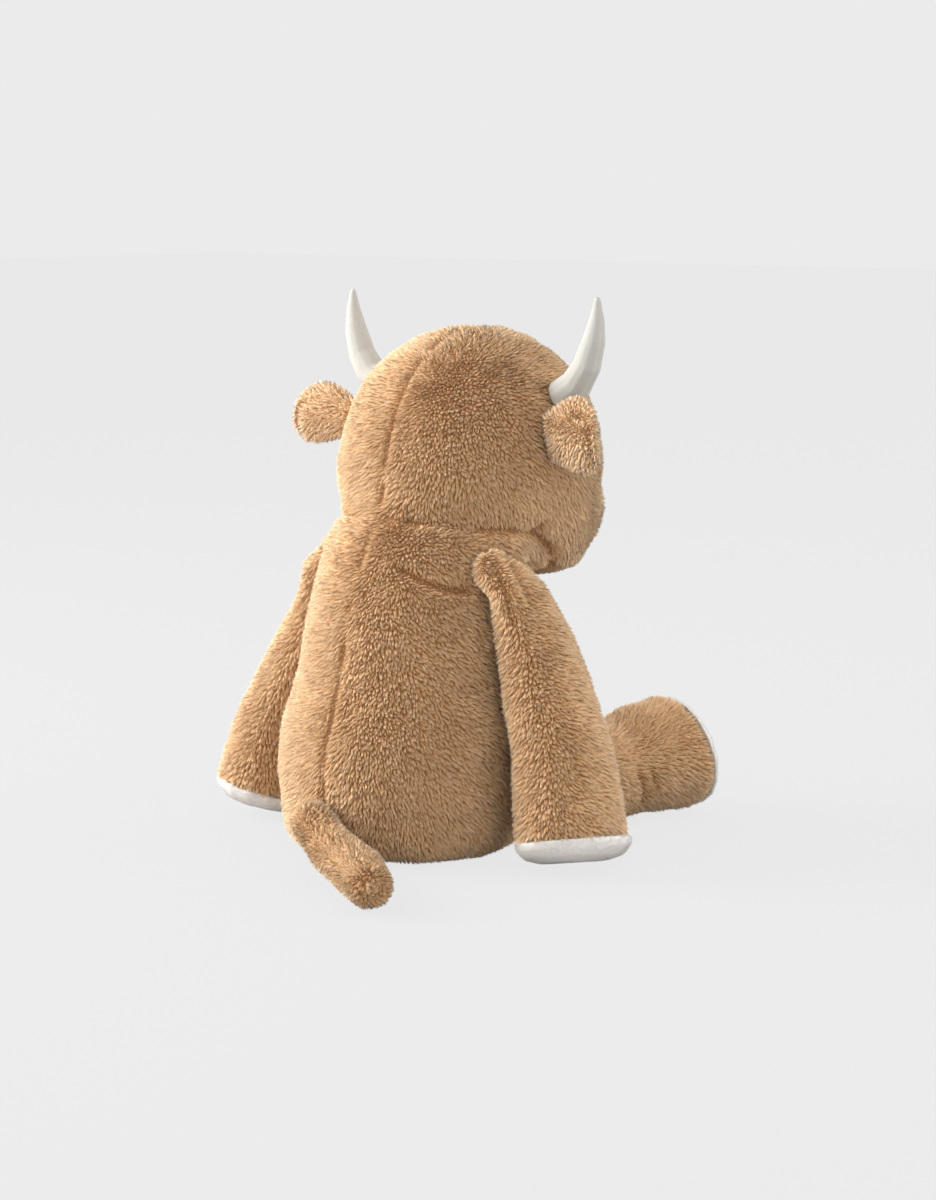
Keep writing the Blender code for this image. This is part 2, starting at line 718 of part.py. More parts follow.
def ear_half(side, face):
    """One cloth of an ear: face is +1 for the back and -1 for the lining."""
    pivot, out, upright = ear_root(side)
    thickness = out.cross(upright) * -side
    stations = []
    for way, thick, height in EAR_ROOT_SHARES:
        stations.append((way * EAR_HALF_THICKNESS, thick * EAR_HALF_THICKNESS, height * EAR_HALF_HEIGHT))
    for way, height in EAR_STATION_SHARES:
        thick = EAR_HALF_THICKNESS * math.sqrt(1.0 - (EAR_EDGE_SHARE * way) ** EAR_EDGE_CURVE)
        stations.append((way * EAR_LENGTH, thick, height * EAR_HALF_HEIGHT))
    rings = []
    for out_way, thick, height in stations:
        share = max(0.0, out_way / EAR_LENGTH)
        middle = pivot + out * out_way + (Y_AXIS * EAR_SWEEP - Z_AXIS * EAR_DROOP) * share * share
        points = []
        for step in range(EAR_ARC_STEPS + 1):
            angle = math.pi * (step / EAR_ARC_STEPS - 0.5)
            bulge = face * (CLEARANCE / 2 + thick * math.cos(angle))
            points.append(middle + upright * height * math.sin(angle) + thickness * bulge)
        rings.append(points)
    return loft_mesh("ear", rings)


def build_ear(side, word, body, materials):
    for name, face in (("ear_back_", 1.0), ("ear_lining_", -1.0)):
        cloth = subtract(ear_half(side, face), head_skull(-CLEARANCE))
        make_piece(name + word, cloth, materials["fur"], body)


def arm_pivot(side):
    depth = SHOULDER_BACK - NECK_FORWARD
    return Vector((side * (torso_side(SHOULDER_HEIGHT, depth) + SHOULDER_OUT), depth, SHOULDER_HEIGHT))


def arm_path(side):
    """Middle line of the arm, which follows the torso's side and then spreads a little."""
    pivot = arm_pivot(side)
    base = HAND_PAD_DEPTH + HAND_FLOOR_GAP
    points = [pivot]
    widest = 0.0
    for way, forward, width, _ in ARM_STATION_SHARES:
        height = pivot.z + (base - pivot.z) * way
        depth = pivot.y - ARM_FORWARD * forward
        widest = max(widest, torso_side(height, depth))
        out = widest + ARM_GAP + HAND_GAP * way * way + width * HAND_HALF_WIDTH
        points.append(Vector((side * out, depth, height)))
    return points


def arm_rings(side, inset):
    """Rings from the shoulder ball to the pad seam, their pole, and the seam's own ring."""
    frames = ring_frames(arm_path(side))
    pivot = arm_pivot(side)
    out = X_AXIS * side
    ball = SHOULDER_BALL_RADIUS - inset
    level = out.cross(Y_AXIS)
    rings = root_dome(pivot, (out, level, level.cross(out)), ball, LIMB_SIDES, SHOULDER_BALL_REACH)
    for (centre, way), (_, _, width, depth) in zip(frames[1:], ARM_STATION_SHARES):
        across = way.cross(Y_AXIS).normalized()
        along = across.cross(way)
        half_width = width * HAND_HALF_WIDTH - inset
        half_depth = depth * HAND_HALF_DEPTH - inset
        rings.append(ring(centre, across, along, half_width, half_depth, half_depth, LIMB_SIDES))
    return rings, pivot - out * ball, (centre, way, across, along, half_width, half_depth)


def leg_pivot(side):
    middle, half_width, front = torso_section(HIP_HEIGHT)
    out = math.hypot(front * math.cos(HIP_SPREAD), half_width * math.sin(HIP_SPREAD)) + HIP_OUT
    return Vector((side * out * math.sin(HIP_SPREAD), middle - out * math.cos(HIP_SPREAD), HIP_HEIGHT))


def leg_rings(side, inset):
    """Rings from the hip ball to the sole seam, along a leg that lies on the floor."""
    pivot = leg_pivot(side)
    heading = Vector((side * math.sin(LEG_SPLAY), -math.cos(LEG_SPLAY), 0.0))
    across = heading.cross(Z_AXIS)
    ball = HIP_BALL_RADIUS - inset
    rings = root_dome(pivot, (heading, across, Z_AXIS), ball, LIMB_SIDES)
    for way, width in LEG_STATION_SHARES:
        rise = FOOT_RISE * way ** FOOT_RISE_CURVE
        radius = width * FOOT_RADIUS
        along = (Z_AXIS * math.cos(rise) - heading * math.sin(rise)).normalized()
        centre = pivot + heading * LEG_LENGTH * way + Z_AXIS * (LEG_FLOOR_GAP + radius - pivot.z)
        rings.append(round_ring(centre, across, along, radius - inset, LIMB_SIDES))
    end = (heading * math.cos(rise) + Z_AXIS * math.sin(rise)).normalized()
    return rings, pivot - heading * ball, (centre, end, across, along, radius - inset, radius - inset)


def pad_mesh(name, seam, depth):
    """Cushioned pad that closes the end of a limb."""
    centre, way, across, along, half_width, half_depth = seam
    rings = []
    for out, share in PAD_STATION_SHARES:
        place = centre + way * (CLEARANCE + out * (depth - CLEARANCE))
        reach = half_depth * share
        rings.append(ring(place, across, along, half_width * share, reach, reach, LIMB_SIDES))
    return loft_mesh(name, rings)


def build_limb(rings_for, side, names, depth, body, materials):
    """Cover, pad and stuffing of an arm or a leg."""
    outer, outer_pole, seam = rings_for(side, 0.0)
    inner, inner_pole, _ = rings_for(side, PILE)
    core, core_pole, core_seam = rings_for(side, PILE + CLEARANCE)
    core_end = [point - core_seam[1] * CLEARANCE for point in core[-1]]
    cover, pad, stuffing = names
    make_piece(cover, sleeve_mesh(cover, outer, outer_pole, inner, inner_pole), materials["fur"], body)
    make_piece(pad, pad_mesh(pad, seam, depth), materials["pad"], body)
    filling = loft_mesh(stuffing, core[:-1] + [core_end], core_pole)
    make_piece(stuffing, filling, materials["stuffing"], body)


def tail_pivot():
    middle, half_width, _ = torso_section(TAIL_HEIGHT)
    return Vector((TAIL_SIDE, middle + half_width + TAIL_OUT, TAIL_HEIGHT))


def tail_path():
    """Middle line of the tail, which sinks to the floor and bends to the cow's right."""
    pivot = tail_pivot()
    points = [pivot]
    place = pivot
    last = 0.0
    for way, width in TAIL_STATION_SHARES:
        heading = TAIL_HEADING + TAIL_TURN * way
        place = place + Vector((-math.sin(heading), math.cos(heading), 0.0)) * TAIL_LENGTH * (way - last)
        sink = (1.0 - way) ** TAIL_SINK_CURVE
        place.z = TAIL_FLOOR_GAP + width * TAIL_RADIUS + (pivot.z - TAIL_RADIUS) * sink
        points.append(place.copy())
        last = way
    return points


def tail_rings(inset):
    """Rings of the tail from its root ball to the round tip, with both poles."""
    frames = ring_frames(tail_path())
    pivot, way = frames[0]
    across = way.cross(Z_AXIS).normalized()
    ball = TAIL_BALL_RADIUS - inset
    pole = pivot - way * ball
    rings = root_dome(pivot, (way, across, across.cross(way)), ball, LIMB_SIDES)
    for (centre, way), (_, width) in zip(frames[1:], TAIL_STATION_SHARES):
        across = way.cross(Z_AXIS).normalized()
        radius = width * TAIL_RADIUS - inset
        rings.append(round_ring(centre, across, across.cross(way), radius, LIMB_SIDES))
    end, tip = round_end(centre, (way, across, across.cross(way)), radius, LIMB_SIDES, TAIL_TIP_SHARES)
    return rings + end, pole, tip


def build_tail(body, materials):
    outer, _, tip = tail_rings(0.0)
    inner, _, inner_tip = tail_rings(PILE)
    core, core_pole, core_tip = tail_rings(PILE + CLEARANCE)
    cover = sleeve_mesh("tail_cover", outer[::-1], tip, inner[::-1], inner_tip)
    make_piece("tail_cover", cover, materials["fur"], body)
    filling = loft_mesh("tail_stuffing", core, core_pole, core_tip)
    make_piece("tail_stuffing", filling, materials["stuffing"], body)


def main():
    clear_scene()
    materials = {
        "fur": make_material("tan_fur", TAN_FUR, 0.95),
        "pad": make_material("white_plush", WHITE_PLUSH, 0.95),
        "horn": make_material("ivory_cloth", IVORY_CLOTH, 0.85),
        "stuffing": make_material("stuffing_white", STUFFING_WHITE, 1.0),
        "pellet": make_material("pellet_cloth", PELLET_CLOTH, 0.8),
        "eye": make_material("eye_black", EYE_BLACK, 0.12),
        "washer": make_material("washer_white", WASHER_WHITE, 0.5),
    }
    torso = make_body("torso", Vector())
    neck = make_body("neck", NECK_PIVOT, torso)
    head = make_body("head", NECK_PIVOT, neck)
    build_torso(torso, materials)
    build_neck(neck, materials)
    build_head(head, materials)
    build_tail(make_body("tail", tail_pivot(), torso), materials)
    for side, word in SIDES:
        arm = make_body("arm_" + word, arm_pivot(side), torso)
        names = [kind + word for kind in ("arm_cover_", "hoof_pad_", "arm_stuffing_")]
        build_limb(arm_rings, side, names, HAND_PAD_DEPTH, arm, materials)
        leg = make_body("leg_" + word, leg_pivot(side), torso)
        names = [kind + word for kind in ("leg_cover_", "sole_pad_", "leg_stuffing_")]
        build_limb(leg_rings, side, names, SOLE_DEPTH, leg, materials)
        build_ear(side, word, make_body("ear_" + word, ear_root(side)[0], head), materials)
    bpy.context.view_layer.update()


main()
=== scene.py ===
import math

import bmesh
import bpy
import numpy as np
from mathutils import Euler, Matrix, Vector
from mathutils.bvhtree import BVHTree
from mathutils.kdtree import KDTree


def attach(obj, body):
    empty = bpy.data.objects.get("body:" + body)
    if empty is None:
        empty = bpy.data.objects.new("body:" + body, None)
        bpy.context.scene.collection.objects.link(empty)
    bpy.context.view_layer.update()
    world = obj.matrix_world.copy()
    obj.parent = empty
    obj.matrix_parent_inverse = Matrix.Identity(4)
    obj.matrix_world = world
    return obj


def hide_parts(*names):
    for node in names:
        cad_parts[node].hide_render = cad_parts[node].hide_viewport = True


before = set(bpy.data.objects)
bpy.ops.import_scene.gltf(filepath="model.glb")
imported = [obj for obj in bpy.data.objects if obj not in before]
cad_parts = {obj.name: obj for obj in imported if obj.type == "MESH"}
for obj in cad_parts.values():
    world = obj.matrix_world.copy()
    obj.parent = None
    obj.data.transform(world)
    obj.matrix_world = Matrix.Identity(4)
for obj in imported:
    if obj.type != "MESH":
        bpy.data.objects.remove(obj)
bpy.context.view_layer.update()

MM = 0.001
SEED = 7
TINY = 1e-9
FAR = 1.0
MIDDLE = 0.5
PIECE_LIMIT = 1000

# Camera: the photograph's view from behind, over the cow's right side
CAMERA_PLACE = Vector((-1.3679, 1.5855, 0.4954))
CAMERA_AZIMUTH = math.radians(219.6)
CAMERA_PITCH = math.radians(8.46)
CAMERA_LENS = 85.32
CAMERA_SHIFT = 5 / 1200

# Light and backdrop: each lamp has a name, place, power, size and colour
BACKDROP = (0.831, 0.831, 0.831)
WORLD_STRENGTH = 1.08
LAMPS = (
    ("key", (1.75, 1.15, 1.25), 88.0, 1.3, (1.0, 1.0, 1.0)),
    ("edge", (-1.85, -1.25, 1.25), 17.0, 1.2, (1.0, 1.0, 1.0)),
)
LIGHT_AIM = Vector((0.0, -0.05, 0.20))
FLOOR_COLOUR = (0.53, 0.53, 0.53)
FLOOR_GLOW_SHARE = 0.93
FLOOR_REACH = 12.0
FLOOR_DROP = 0.5 * MM

# Skins: the forms under the fur
VOXEL = 2.4 * MM
PAD_VOXEL = 1.6 * MM
HORN_VOXEL = 1.1 * MM
EAR_VOXEL = 1.6 * MM
SKIN_INSET = 2.2 * MM
EAR_SKIN_INSET = 1.2 * MM
RELAX_ROUNDS = 12
EAR_ROUNDS = 6
PAD_EDGE = 3.0 * MM
PAD_EDGE_LEAD = 0.7
PAD_EDGE_SIZE = 7.0 * MM
PAD_EDGE_WAVE = 1.2 * MM
PAD_EDGE_SALT = 41
HAND_PAD_RISE = 7.0 * MM
FOOT_PAD_RISE = 1.5 * MM
PAD_HIDE = 4.0 * MM
PAD_INSET = 0.9 * MM
NORMAL_ROUNDS = 6
RELAX_OUT = 0.55
RELAX_BACK = -0.57
STUFF_VOXEL = 6.0 * MM
STUFF_SMALL_VOXEL = 4.0 * MM
STUFF_INSET = 1.4 * MM
STUFF_SMALL_INSET = 0.6 * MM
STUFF_CAP = 3.2 * MM
STUFF_PRESSURE = 40.0
STUFF_FRAMES = 20
STUFF_PIN = 5.0 * MM
STUFF_NEAREST = 4
NORMAL_PULL = 0.7
INSET_PULL = 0.5
PAD_ROUNDS = 8
HORN_ROUNDS = 14
SKIN_FILL = 0.8
PAD_FILL = 0.7
HORN_FILL = 0.9
LUMP_SIZE = 34.0 * MM
LUMP_HEIGHT = 1.3 * MM
SMALL_LUMP_SIZE = 13.0 * MM
SMALL_LUMP_HEIGHT = 0.35 * MM
TRUNK_LUMPS = 1
PART_LUMPS = 5
PAD_LUMPS = 9

# Neck, where one smooth form is shared out to the torso and the head
NECK_PIVOT = Vector((0.0, -0.046, 0.290))
NECK_FILL_RADIUS = 92.0 * MM
NECK_BOWL_TOP = 0.236
NECK_BOWL_STEP = 5.0 * MM
NECK_LEVELS = 5
NECK_WALL_TOP = 0.276
NECK_SIDES = 64
NECK_LOW = 0.17
NECK_HIGH = 0.30
NECK_MIDDLE = 0.26
NECK_LEAD = 12.0 * MM
NECK_LINE_ROUNDS = 40
NECK_LINE_PULL = 0.5
NECK_GAP_REACH = 0.02
NECK_SMOOTH_REACH = 30.0 * MM
NECK_SMOOTH_ROUNDS = 70
NECK_SMOOTH_PULL = 0.6
NECK_FRONT = -0.110
NECK_FADE = 0.030
JAW_REACH = 38.0 * MM
JAW_TOP = 0.285
JAW_FILL_TOP = 0.250
CHEEK_RINGS = ((-0.084, 0.262, 0.095), (-0.095, 0.240, 0.086), (-0.106, 0.216, 0.074), (-0.116, 0.200, 0.058))
NECK_LIP_SHARE = 0.22
NECK_LIP_DROP = 0.05

# Seams
SEAM_DEPTH = 2.4 * MM
SEAM_WIDTH = 2.6 * MM
SEAM_FUR_SHARE = 0.10
SEAM_BREAK = 14.0 * MM
SEAM_BREAK_SALT = 31
SEAM_BREAK_LEVEL = 0.1
SEAM_BREAK_GAP = 6.0 * MM
NAPE_DEPTH = 1.2 * MM
NAPE_WIDTH = 1.7 * MM
NAPE_FOLD_DEPTH = 2.6 * MM
NAPE_FOLD_WIDTH = 6.0 * MM
NAPE_FOLD_X = -0.02
NAPE_FOLD_Y = 0.03
SIDE_SEAM_Y = 0.002
HEAD_CENTRE = Vector((0.0, -0.079, 0.286))
HEAD_RADIUS = 0.100
FACE_SEAM_AHEAD = 0.002
FACE_SEAM_TILT = math.radians(24.0)
FACE_SEAM_LOW = 0.20
MUZZLE_CENTRE = Vector((0.0, -0.151, 0.242))
FOLD_DEPTH = 6.0 * MM
FOLD_WIDTH = 3.6 * MM
DART_DEPTH = 3.4 * MM
DART_WIDTH = 3.0 * MM
DART_COVER = 0.5
SHOULDER_FOLD = (
    (-0.0330, 0.0450, 0.2171),
    (-0.0452, 0.0410, 0.2105),
    (-0.0558, 0.0346, 0.2057),
    (-0.0651, 0.0254, 0.2026),
    (-0.0720, 0.0134, 0.2011),
)
ARM_DARTS = (
    ((-0.0897, 0.0077, 0.2225), (-0.1062, 0.0132, 0.2028), (-0.1116, 0.0118, 0.1814)),
    ((-0.0900, -0.0069, 0.2261), (-0.1071, -0.0006, 0.2123), (-0.1155, -0.0040, 0.1945)),
)
LEG_DARTS = (
    ((-0.1101, -0.1478, 0.0418), (-0.1106, -0.1539, 0.0291), (-0.1045, -0.1586, 0.0157)),
    ((-0.1143, -0.1576, 0.0447), (-0.1145, -0.1615, 0.0323)),
)
EAR_CREASE = ((
    (-0.1250, -0.0480, 0.3250),
    (-0.1400, -0.0462, 0.3229),
    (-0.1440, -0.0449, 0.3086),
    (-0.1439, -0.0463, 0.2977),
),)

# Fur
HASH_FACTORS = (73856093, 19349663, 83492791)
HASH_SALT = 49979687
HASH_MIX = 1274126177
HASH_SHIFTS = (13, 16)
HASH_RANGE = 10007
STRAND_SIDES = 3
STRAND_POINTS = 4
STRAND_FACES = [0, 1, 3, 1, 2, 3, 2, 0, 3]
STRAND_CELL = ((0.1, 0.1), (0.5, 0.1), (0.9, 0.1), (0.5, 0.9))
STRAND_ROOT = 1.2 * MM
STRAND_RISE = 3.9 * MM
STRAND_REACH = 3.6 * MM
STRAND_RADIUS = 0.52 * MM
STRANDS_PER_MM2 = 1.6
STRANDS_IN_PIECE = 65000
STRAND_GROW = (0.78, 1.12)
STRAND_THICKNESS = (0.75, 1.25)
ACROSS_SHIFT = 0.1
LEAST_COVER = 0.05
LEAST_FACING = 0.2
SWIRL_RANDOM = 0.22
SWIRL_SOFT = 0.55
SWIRL_SIZE = 11.0 * MM
SWIRL_SALT = 21
LIFT_SOFT = 0.20
LIFT_CLUMP = 0.25
LIFT_SIZE = 9.0 * MM
LIFT_SALT = 23
CLUMP = 2.4 * MM
CLUMP_PULL = 0.72
CLUMP_BEND = 1.8
CLUMP_STRETCH = 0.70
CLUMP_SALTS = (3, 5, 11)
CLUMP_NUMBER_SALT = 17
CLUMP_TONE = 0.22
STRAND_TONE = 0.07
# Darker strand roots are painted shade deep in the pile, paler tips a painted highlight
ROOT_SHADE_TONE = 0.32
TIP_HIGHLIGHT_TONE = 0.30
# Shortest strands keep this share of their tone: painted shade along seams, darts and edges
SHORT_SHADE_TONE = 0.50
NORMAL_SHARE = 0.75
RADIAL_SHARE = 0.65
FLOOR_GAP = 0.3 * MM
NAP_RISE = 1.1 * MM
NAP_REACH = 0.9 * MM
NAP_RADIUS = 0.34 * MM
NAP_PER_MM2 = 2.2
NAP_RANGE = (0.7, 1.2)
NAP_TONE = 0.55
NAP_TONE_RANDOM = 0.10

# Ways that the fur is combed, for the left side where there are two
PART_WIDTH = 0.02
TORSO_COMB = (0.0, -0.25, -1.0)
TORSO_PART = 0.45
HEAD_COMB = (0.0, 0.10, -1.0)
HEAD_PART = 0.40
FACE_COMB_FROM = MUZZLE_CENTRE + Vector((0.0, -0.05, 0.02))
FACE_COMB_START = -0.10
FACE_COMB_FADE = 0.04
FACE_COMB_DOWN = 0.4
ARM_COMB = (0.25, -0.25, -1.0)
LEG_COMB = (0.27, -1.0, -0.2)
TAIL_COMB = (-0.85, 0.50, 0.0)
EAR_COMB = (0.0, -0.1)
EAR_PART = 0.9
EAR_PART_Z = 0.315
EAR_PART_FADE = 0.020

# Shoulder, ears, horns and nose
SHOULDER_LOW = 0.070
SHOULDER_RISE = 0.110
SHOULDER_SHIFT = 13.0 * MM
THREAD_RADIUS = 0.9 * MM
THREAD_SIDES = 8
THREAD_TAPER = 0.15
NOSTRIL_ACROSS = 0.0165
NOSTRIL_UP = 0.256
NOSTRIL_HALF = (0.0052, 0.0032)
NOSTRIL_ROWS = 9
NOSTRIL_ROUND = 1.02
NOSTRIL_PARTS = (-1.0, -0.5, 0.0, 0.5, 1.0)
MOUTH_HALF = 0.021
MOUTH_UP = 0.226
MOUTH_DIP = 0.007
MOUTH_STEPS = 24
EAR_ROOT_X = 0.100
EAR_TURN = math.radians(13.0)
EAR_CURL = 208.0
EAR_MIDDLE = 0.317
EAR_TOP_SHARE = 0.84
EAR_LOW_SHARE = {1.0: 1.0, -1.0: 1.35}
HORN_TIP_REACH = 34.0 * MM
HORN_TIP_DEPTH = 4.0 * MM
HORN_TIP_POWER = 1.5
HORN_SEAM_Y = -0.0765
HORN_SEAM_DEPTH = 0.7 * MM
HORN_SEAM_WIDTH = 0.8 * MM
HORN_TIP_SHARE = 0.50
NOSE_SHARE = 0.84
NOSE_PROUD = 2.4 * MM
NOSE_HOLLOW = 5.0 * MM
NOSE_HOLLOW_EDGE = 1.05
NOSE_HOLLOW_FADE = 0.20
NOSE_FUR_EDGE = 0.95
NOSE_FUR_FADE = 0.16
NOSE_FAR = 2.0
NOSE_HALF = (0.0389, 0.0370)
NOSE_MIDDLE = (0.0, 0.242)

# Eyes
EYE_RADIUS = 7.5 * MM
EYE_DOME = 4.8 * MM
EYE_ACROSS = 0.46
EYE_RISE = 0.17
EYE_SIDES = 48
EYE_STEPS = 14
EYE_BACK = -2.5 * MM
EYE_BACK_SHARE = 0.94
EYE_FLARE = -0.5 * MM
EYE_RIM = 0.3 * MM
EYE_FUR_SHARE = 0.9
EYE_FUR_FADE = 6.0 * MM

# Fur colour from the root to the tip of a strand: the dark low stops are painted shade at the roots, the pale
# top stop a painted highlight at the tips
FUR_STOPS = (
    (0.00, (0.360, 0.155, 0.050)),
    (0.35, (0.700, 0.390, 0.175)),
    (0.65, (0.900, 0.590, 0.325)),
    (1.00, (0.940, 0.770, 0.560)),
)
# Backing cloth under the fur, darker than the fur as painted shade deep in the pile
BACKING_SHADE_STOPS = (
    (0.00, (0.200, 0.090, 0.030)),
    (0.50, (0.340, 0.160, 0.060)),
    (1.00, (0.480, 0.250, 0.110)),
)
# Pale plush: grain on the cloth, and on the nap strands a low stop that is painted shade at the roots
PALE_STOPS = (
    (0.00, (0.70, 0.64, 0.59)),
    (0.50, (0.86, 0.82, 0.78)),
    (1.00, (0.92, 0.90, 0.87)),
)
NOSE_STOPS = (
    (0.00, (0.58, 0.53, 0.49)),
    (0.50, (0.70, 0.66, 0.62)),
    (1.00, (0.76, 0.73, 0.70)),
)
THREAD_STOPS = (
    (0.00, (0.050, 0.022, 0.012)),
    (0.50, (0.110, 0.050, 0.026)),
    (1.00, (0.180, 0.090, 0.050)),
)
IVORY_STOPS = (
    (0.00, (0.40, 0.388, 0.350)),
    (0.50, (0.46, 0.448, 0.410)),
    (1.00, (0.52, 0.510, 0.475)),
)
FUR_PATCHES = ((0.94, 0.93, 0.91), (1.04, 1.04, 1.04))
PALE_PATCHES = ((0.97, 0.96, 0.96), (1.02, 1.02, 1.02))

# Cloths: colours, size of the grain and strength of the bump
CLOTHS = (
    # The backing's dark colour is painted shade between the strands
    ("backing", "tan_backing", BACKING_SHADE_STOPS, 420.0, 0.5),
    ("pale_cloth", "pale_plush", PALE_STOPS, 700.0, 0.4),
    ("nose_cloth", "nose_plush", NOSE_STOPS, 700.0, 0.4),
    ("ivory_cloth", "ivory_nap", IVORY_STOPS, 1100.0, 0.35),
    ("thread", "brown_thread", THREAD_STOPS, 1500.0, 0.6),
)

# Mouldings: colour, and colour of the flow marks
MOULDINGS = (
    ("washer", "washer_plastic", (0.70, 0.70, 0.68), (0.62, 0.62, 0.60)),
    ("eye", "eye_gloss", (0.010, 0.008, 0.007), (0.022, 0.014, 0.010)),
)

# Finishes: roughness, sheen and gloss
STRAND_FINISH = (0.80, 0.30, 0.12)
CLOTH_FINISH = (0.92, 0.15, 0.20)
GLOSS_FINISH = (0.12, 0.0, 0.5)
FLOOR_FINISH = (1.0, 0.0, 0.0)
GLOSS_COAT = 0.6
SHEEN_ROUGHNESS = 0.6
SHEEN_TINT = (1.0, 0.93, 0.84, 1.0)
CLOTH_DETAIL = 4.0
BUMP_REACH = 0.4 * MM
PATCH_NOISE = (22.0, 2.0)
PATCH_PLACES = (0.3, 0.7)
MARK_NOISE = (160.0, 3.0)
MARK_PLACES = (0.35, 0.7)

# Length, density and paleness of the fur
FUR_PLAIN = (1.0, 1.0, 0.0)
# The ear's fur is paler as a painted highlight where the ear catches the light
FUR_EAR = (0.75, 1.3, 0.34)
FUR_TAIL = (0.95, 1.7, -0.06)

SIDES = ((1.0, "left"), (-1.0, "right"))
TORSO_NODES = ["back_cover_left", "back_cover_right", "belly_cover", "seat_cover"]
TORSO_INNER = ["torso_stuffing", "pellet_bag", "neck_stuffing"]
HEAD_NODES = ["head_back_left", "head_back_right", "face_cover"]


def principled(name, colour, roughness, sheen, specular):
    material = bpy.data.materials.new(name)
    material.use_nodes = True
    shader = material.node_tree.nodes["Principled BSDF"]
    shader.inputs["Base Color"].default_value = (*colour, 1.0)
    shader.inputs["Roughness"].default_value = roughness
    shader.inputs["Sheen Weight"].default_value = sheen
    shader.inputs["Sheen Roughness"].default_value = SHEEN_ROUGHNESS
    shader.inputs["Sheen Tint"].default_value = SHEEN_TINT
    shader.inputs["Specular IOR Level"].default_value = specular
    return material, material.node_tree, shader


def ramp_node(tree, source, stops):
    """Colour ramp fed by a socket: stops hold position and colour."""
    ramp = tree.nodes.new("ShaderNodeValToRGB")
    elements = ramp.color_ramp.elements
    while len(elements) < len(stops):
        elements.new(MIDDLE)
    for element, (place, colour) in zip(elements, stops):
        element.position = place
        element.color = (*colour, 1.0)
    tree.links.new(source, ramp.inputs["Fac"])
    return ramp.outputs["Color"]


def noise_node(tree, scale, detail):
    place = tree.nodes.new("ShaderNodeTexCoord")
    noise = tree.nodes.new("ShaderNodeTexNoise")
    noise.inputs["Scale"].default_value = scale
    noise.inputs["Detail"].default_value = detail
    tree.links.new(place.outputs["Object"], noise.inputs["Vector"])
    return noise.outputs["Fac"]


def tinted(tree, colour, low, high):
    """A colour made a little darker and lighter in soft patches."""
    patches = ramp_node(tree, noise_node(tree, *PATCH_NOISE), tuple(zip(PATCH_PLACES, (low, high))))
    mix = tree.nodes.new("ShaderNodeMix")
    mix.data_type = "RGBA"
    mix.blend_type = "MULTIPLY"
    mix.inputs["Factor"].default_value = 1.0
    tree.links.new(colour, mix.inputs["A"])
    tree.links.new(patches, mix.inputs["B"])
    return mix.outputs["Result"]


def strand_material(name, stops, low, high):
    """Hair colour from each strand's own tone, in soft patches over the body."""
    material, tree, shader = principled(name, stops[-1][1], *STRAND_FINISH)
    tone = tree.nodes.new("ShaderNodeAttribute")
    tone.attribute_name = "fur_tone"
    colour = ramp_node(tree, tone.outputs["Fac"], stops)
    tree.links.new(tinted(tree, colour, low, high), shader.inputs["Base Color"])
    return material


def cloth_material(name, stops, scale, strength):
    """Backing cloth or nap with a fine bump."""
    material, tree, shader = principled(name, stops[1][1], *CLOTH_FINISH)
    grain = noise_node(tree, scale, CLOTH_DETAIL)
    tree.links.new(ramp_node(tree, grain, stops), shader.inputs["Base Color"])
    bump = tree.nodes.new("ShaderNodeBump")
    bump.inputs["Strength"].default_value = strength
    bump.inputs["Distance"].default_value = BUMP_REACH
    tree.links.new(grain, bump.inputs["Height"])
    tree.links.new(bump.outputs["Normal"], shader.inputs["Normal"])
    return material


def gloss_material(name, colour, warm):
    """Polished moulding with faint flow marks."""
    material, tree, shader = principled(name, colour, *GLOSS_FINISH)
    shader.inputs["Coat Weight"].default_value = GLOSS_COAT
    marks = ramp_node(tree, noise_node(tree, *MARK_NOISE), tuple(zip(MARK_PLACES, (colour, warm))))
    tree.links.new(marks, shader.inputs["Base Color"])
    return material


def arrays(mesh):
    """Vertex places and triangles of a mesh as arrays."""
    places = np.empty(len(mesh.vertices) * 3)
    mesh.vertices.foreach_get("co", places)
    mesh.calc_loop_triangles()
    triangles = np.empty(len(mesh.loop_triangles) * 3, np.int32)
    mesh.loop_triangles.foreach_get("vertices", triangles)
    return places.reshape(-1, 3), triangles.reshape(-1, 3)


def unit(vectors):
    return vectors / np.maximum(np.linalg.norm(vectors, axis=1, keepdims=True), TINY)


def point_normals(places, triangles):
    """Area-weighted normal at each vertex."""
    corners = places[triangles]
    faces = np.cross(corners[:, 1] - corners[:, 0], corners[:, 2] - corners[:, 0])
    normals = np.zeros_like(places)
    for corner in range(3):
        for axis in range(3):
            normals[:, axis] += np.bincount(triangles[:, corner], faces[:, axis], len(places))
    return unit(normals)


def triangle_areas(places, triangles):
    corners = places[triangles]
    crossed = np.cross(corners[:, 1] - corners[:, 0], corners[:, 2] - corners[:, 0])
    return np.linalg.norm(crossed, axis=1) / 2


def hashed(cells, salt):
    """Repeatable number from 0 to 1 for each grid cell."""
    mixed = salt * HASH_SALT
    for axis, factor in enumerate(HASH_FACTORS):
        mixed = mixed ^ cells[:, axis] * factor
    mixed = (mixed ^ (mixed >> HASH_SHIFTS[0])) * HASH_MIX
    return ((mixed ^ (mixed >> HASH_SHIFTS[1])) % HASH_RANGE) / HASH_RANGE


def soft_noise(places, size, salt):
    """Smooth noise from -1 to 1 with features of the given size."""
    grid = places / size
    cell = np.floor(grid).astype(np.int64)
    part = grid - cell
    part = part * part * (3 - 2 * part)
    total = np.zeros(len(places))
    for step in np.ndindex(2, 2, 2):
        weight = np.prod(np.where(np.array(step), part, 1 - part), axis=1)
        total += weight * hashed(cell + np.array(step), salt)
    return total * 2 - 1


def cad_shape(nodes):
    shape = bmesh.new()
    for node in nodes:
        shape.from_mesh(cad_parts[node].data)
    return shape


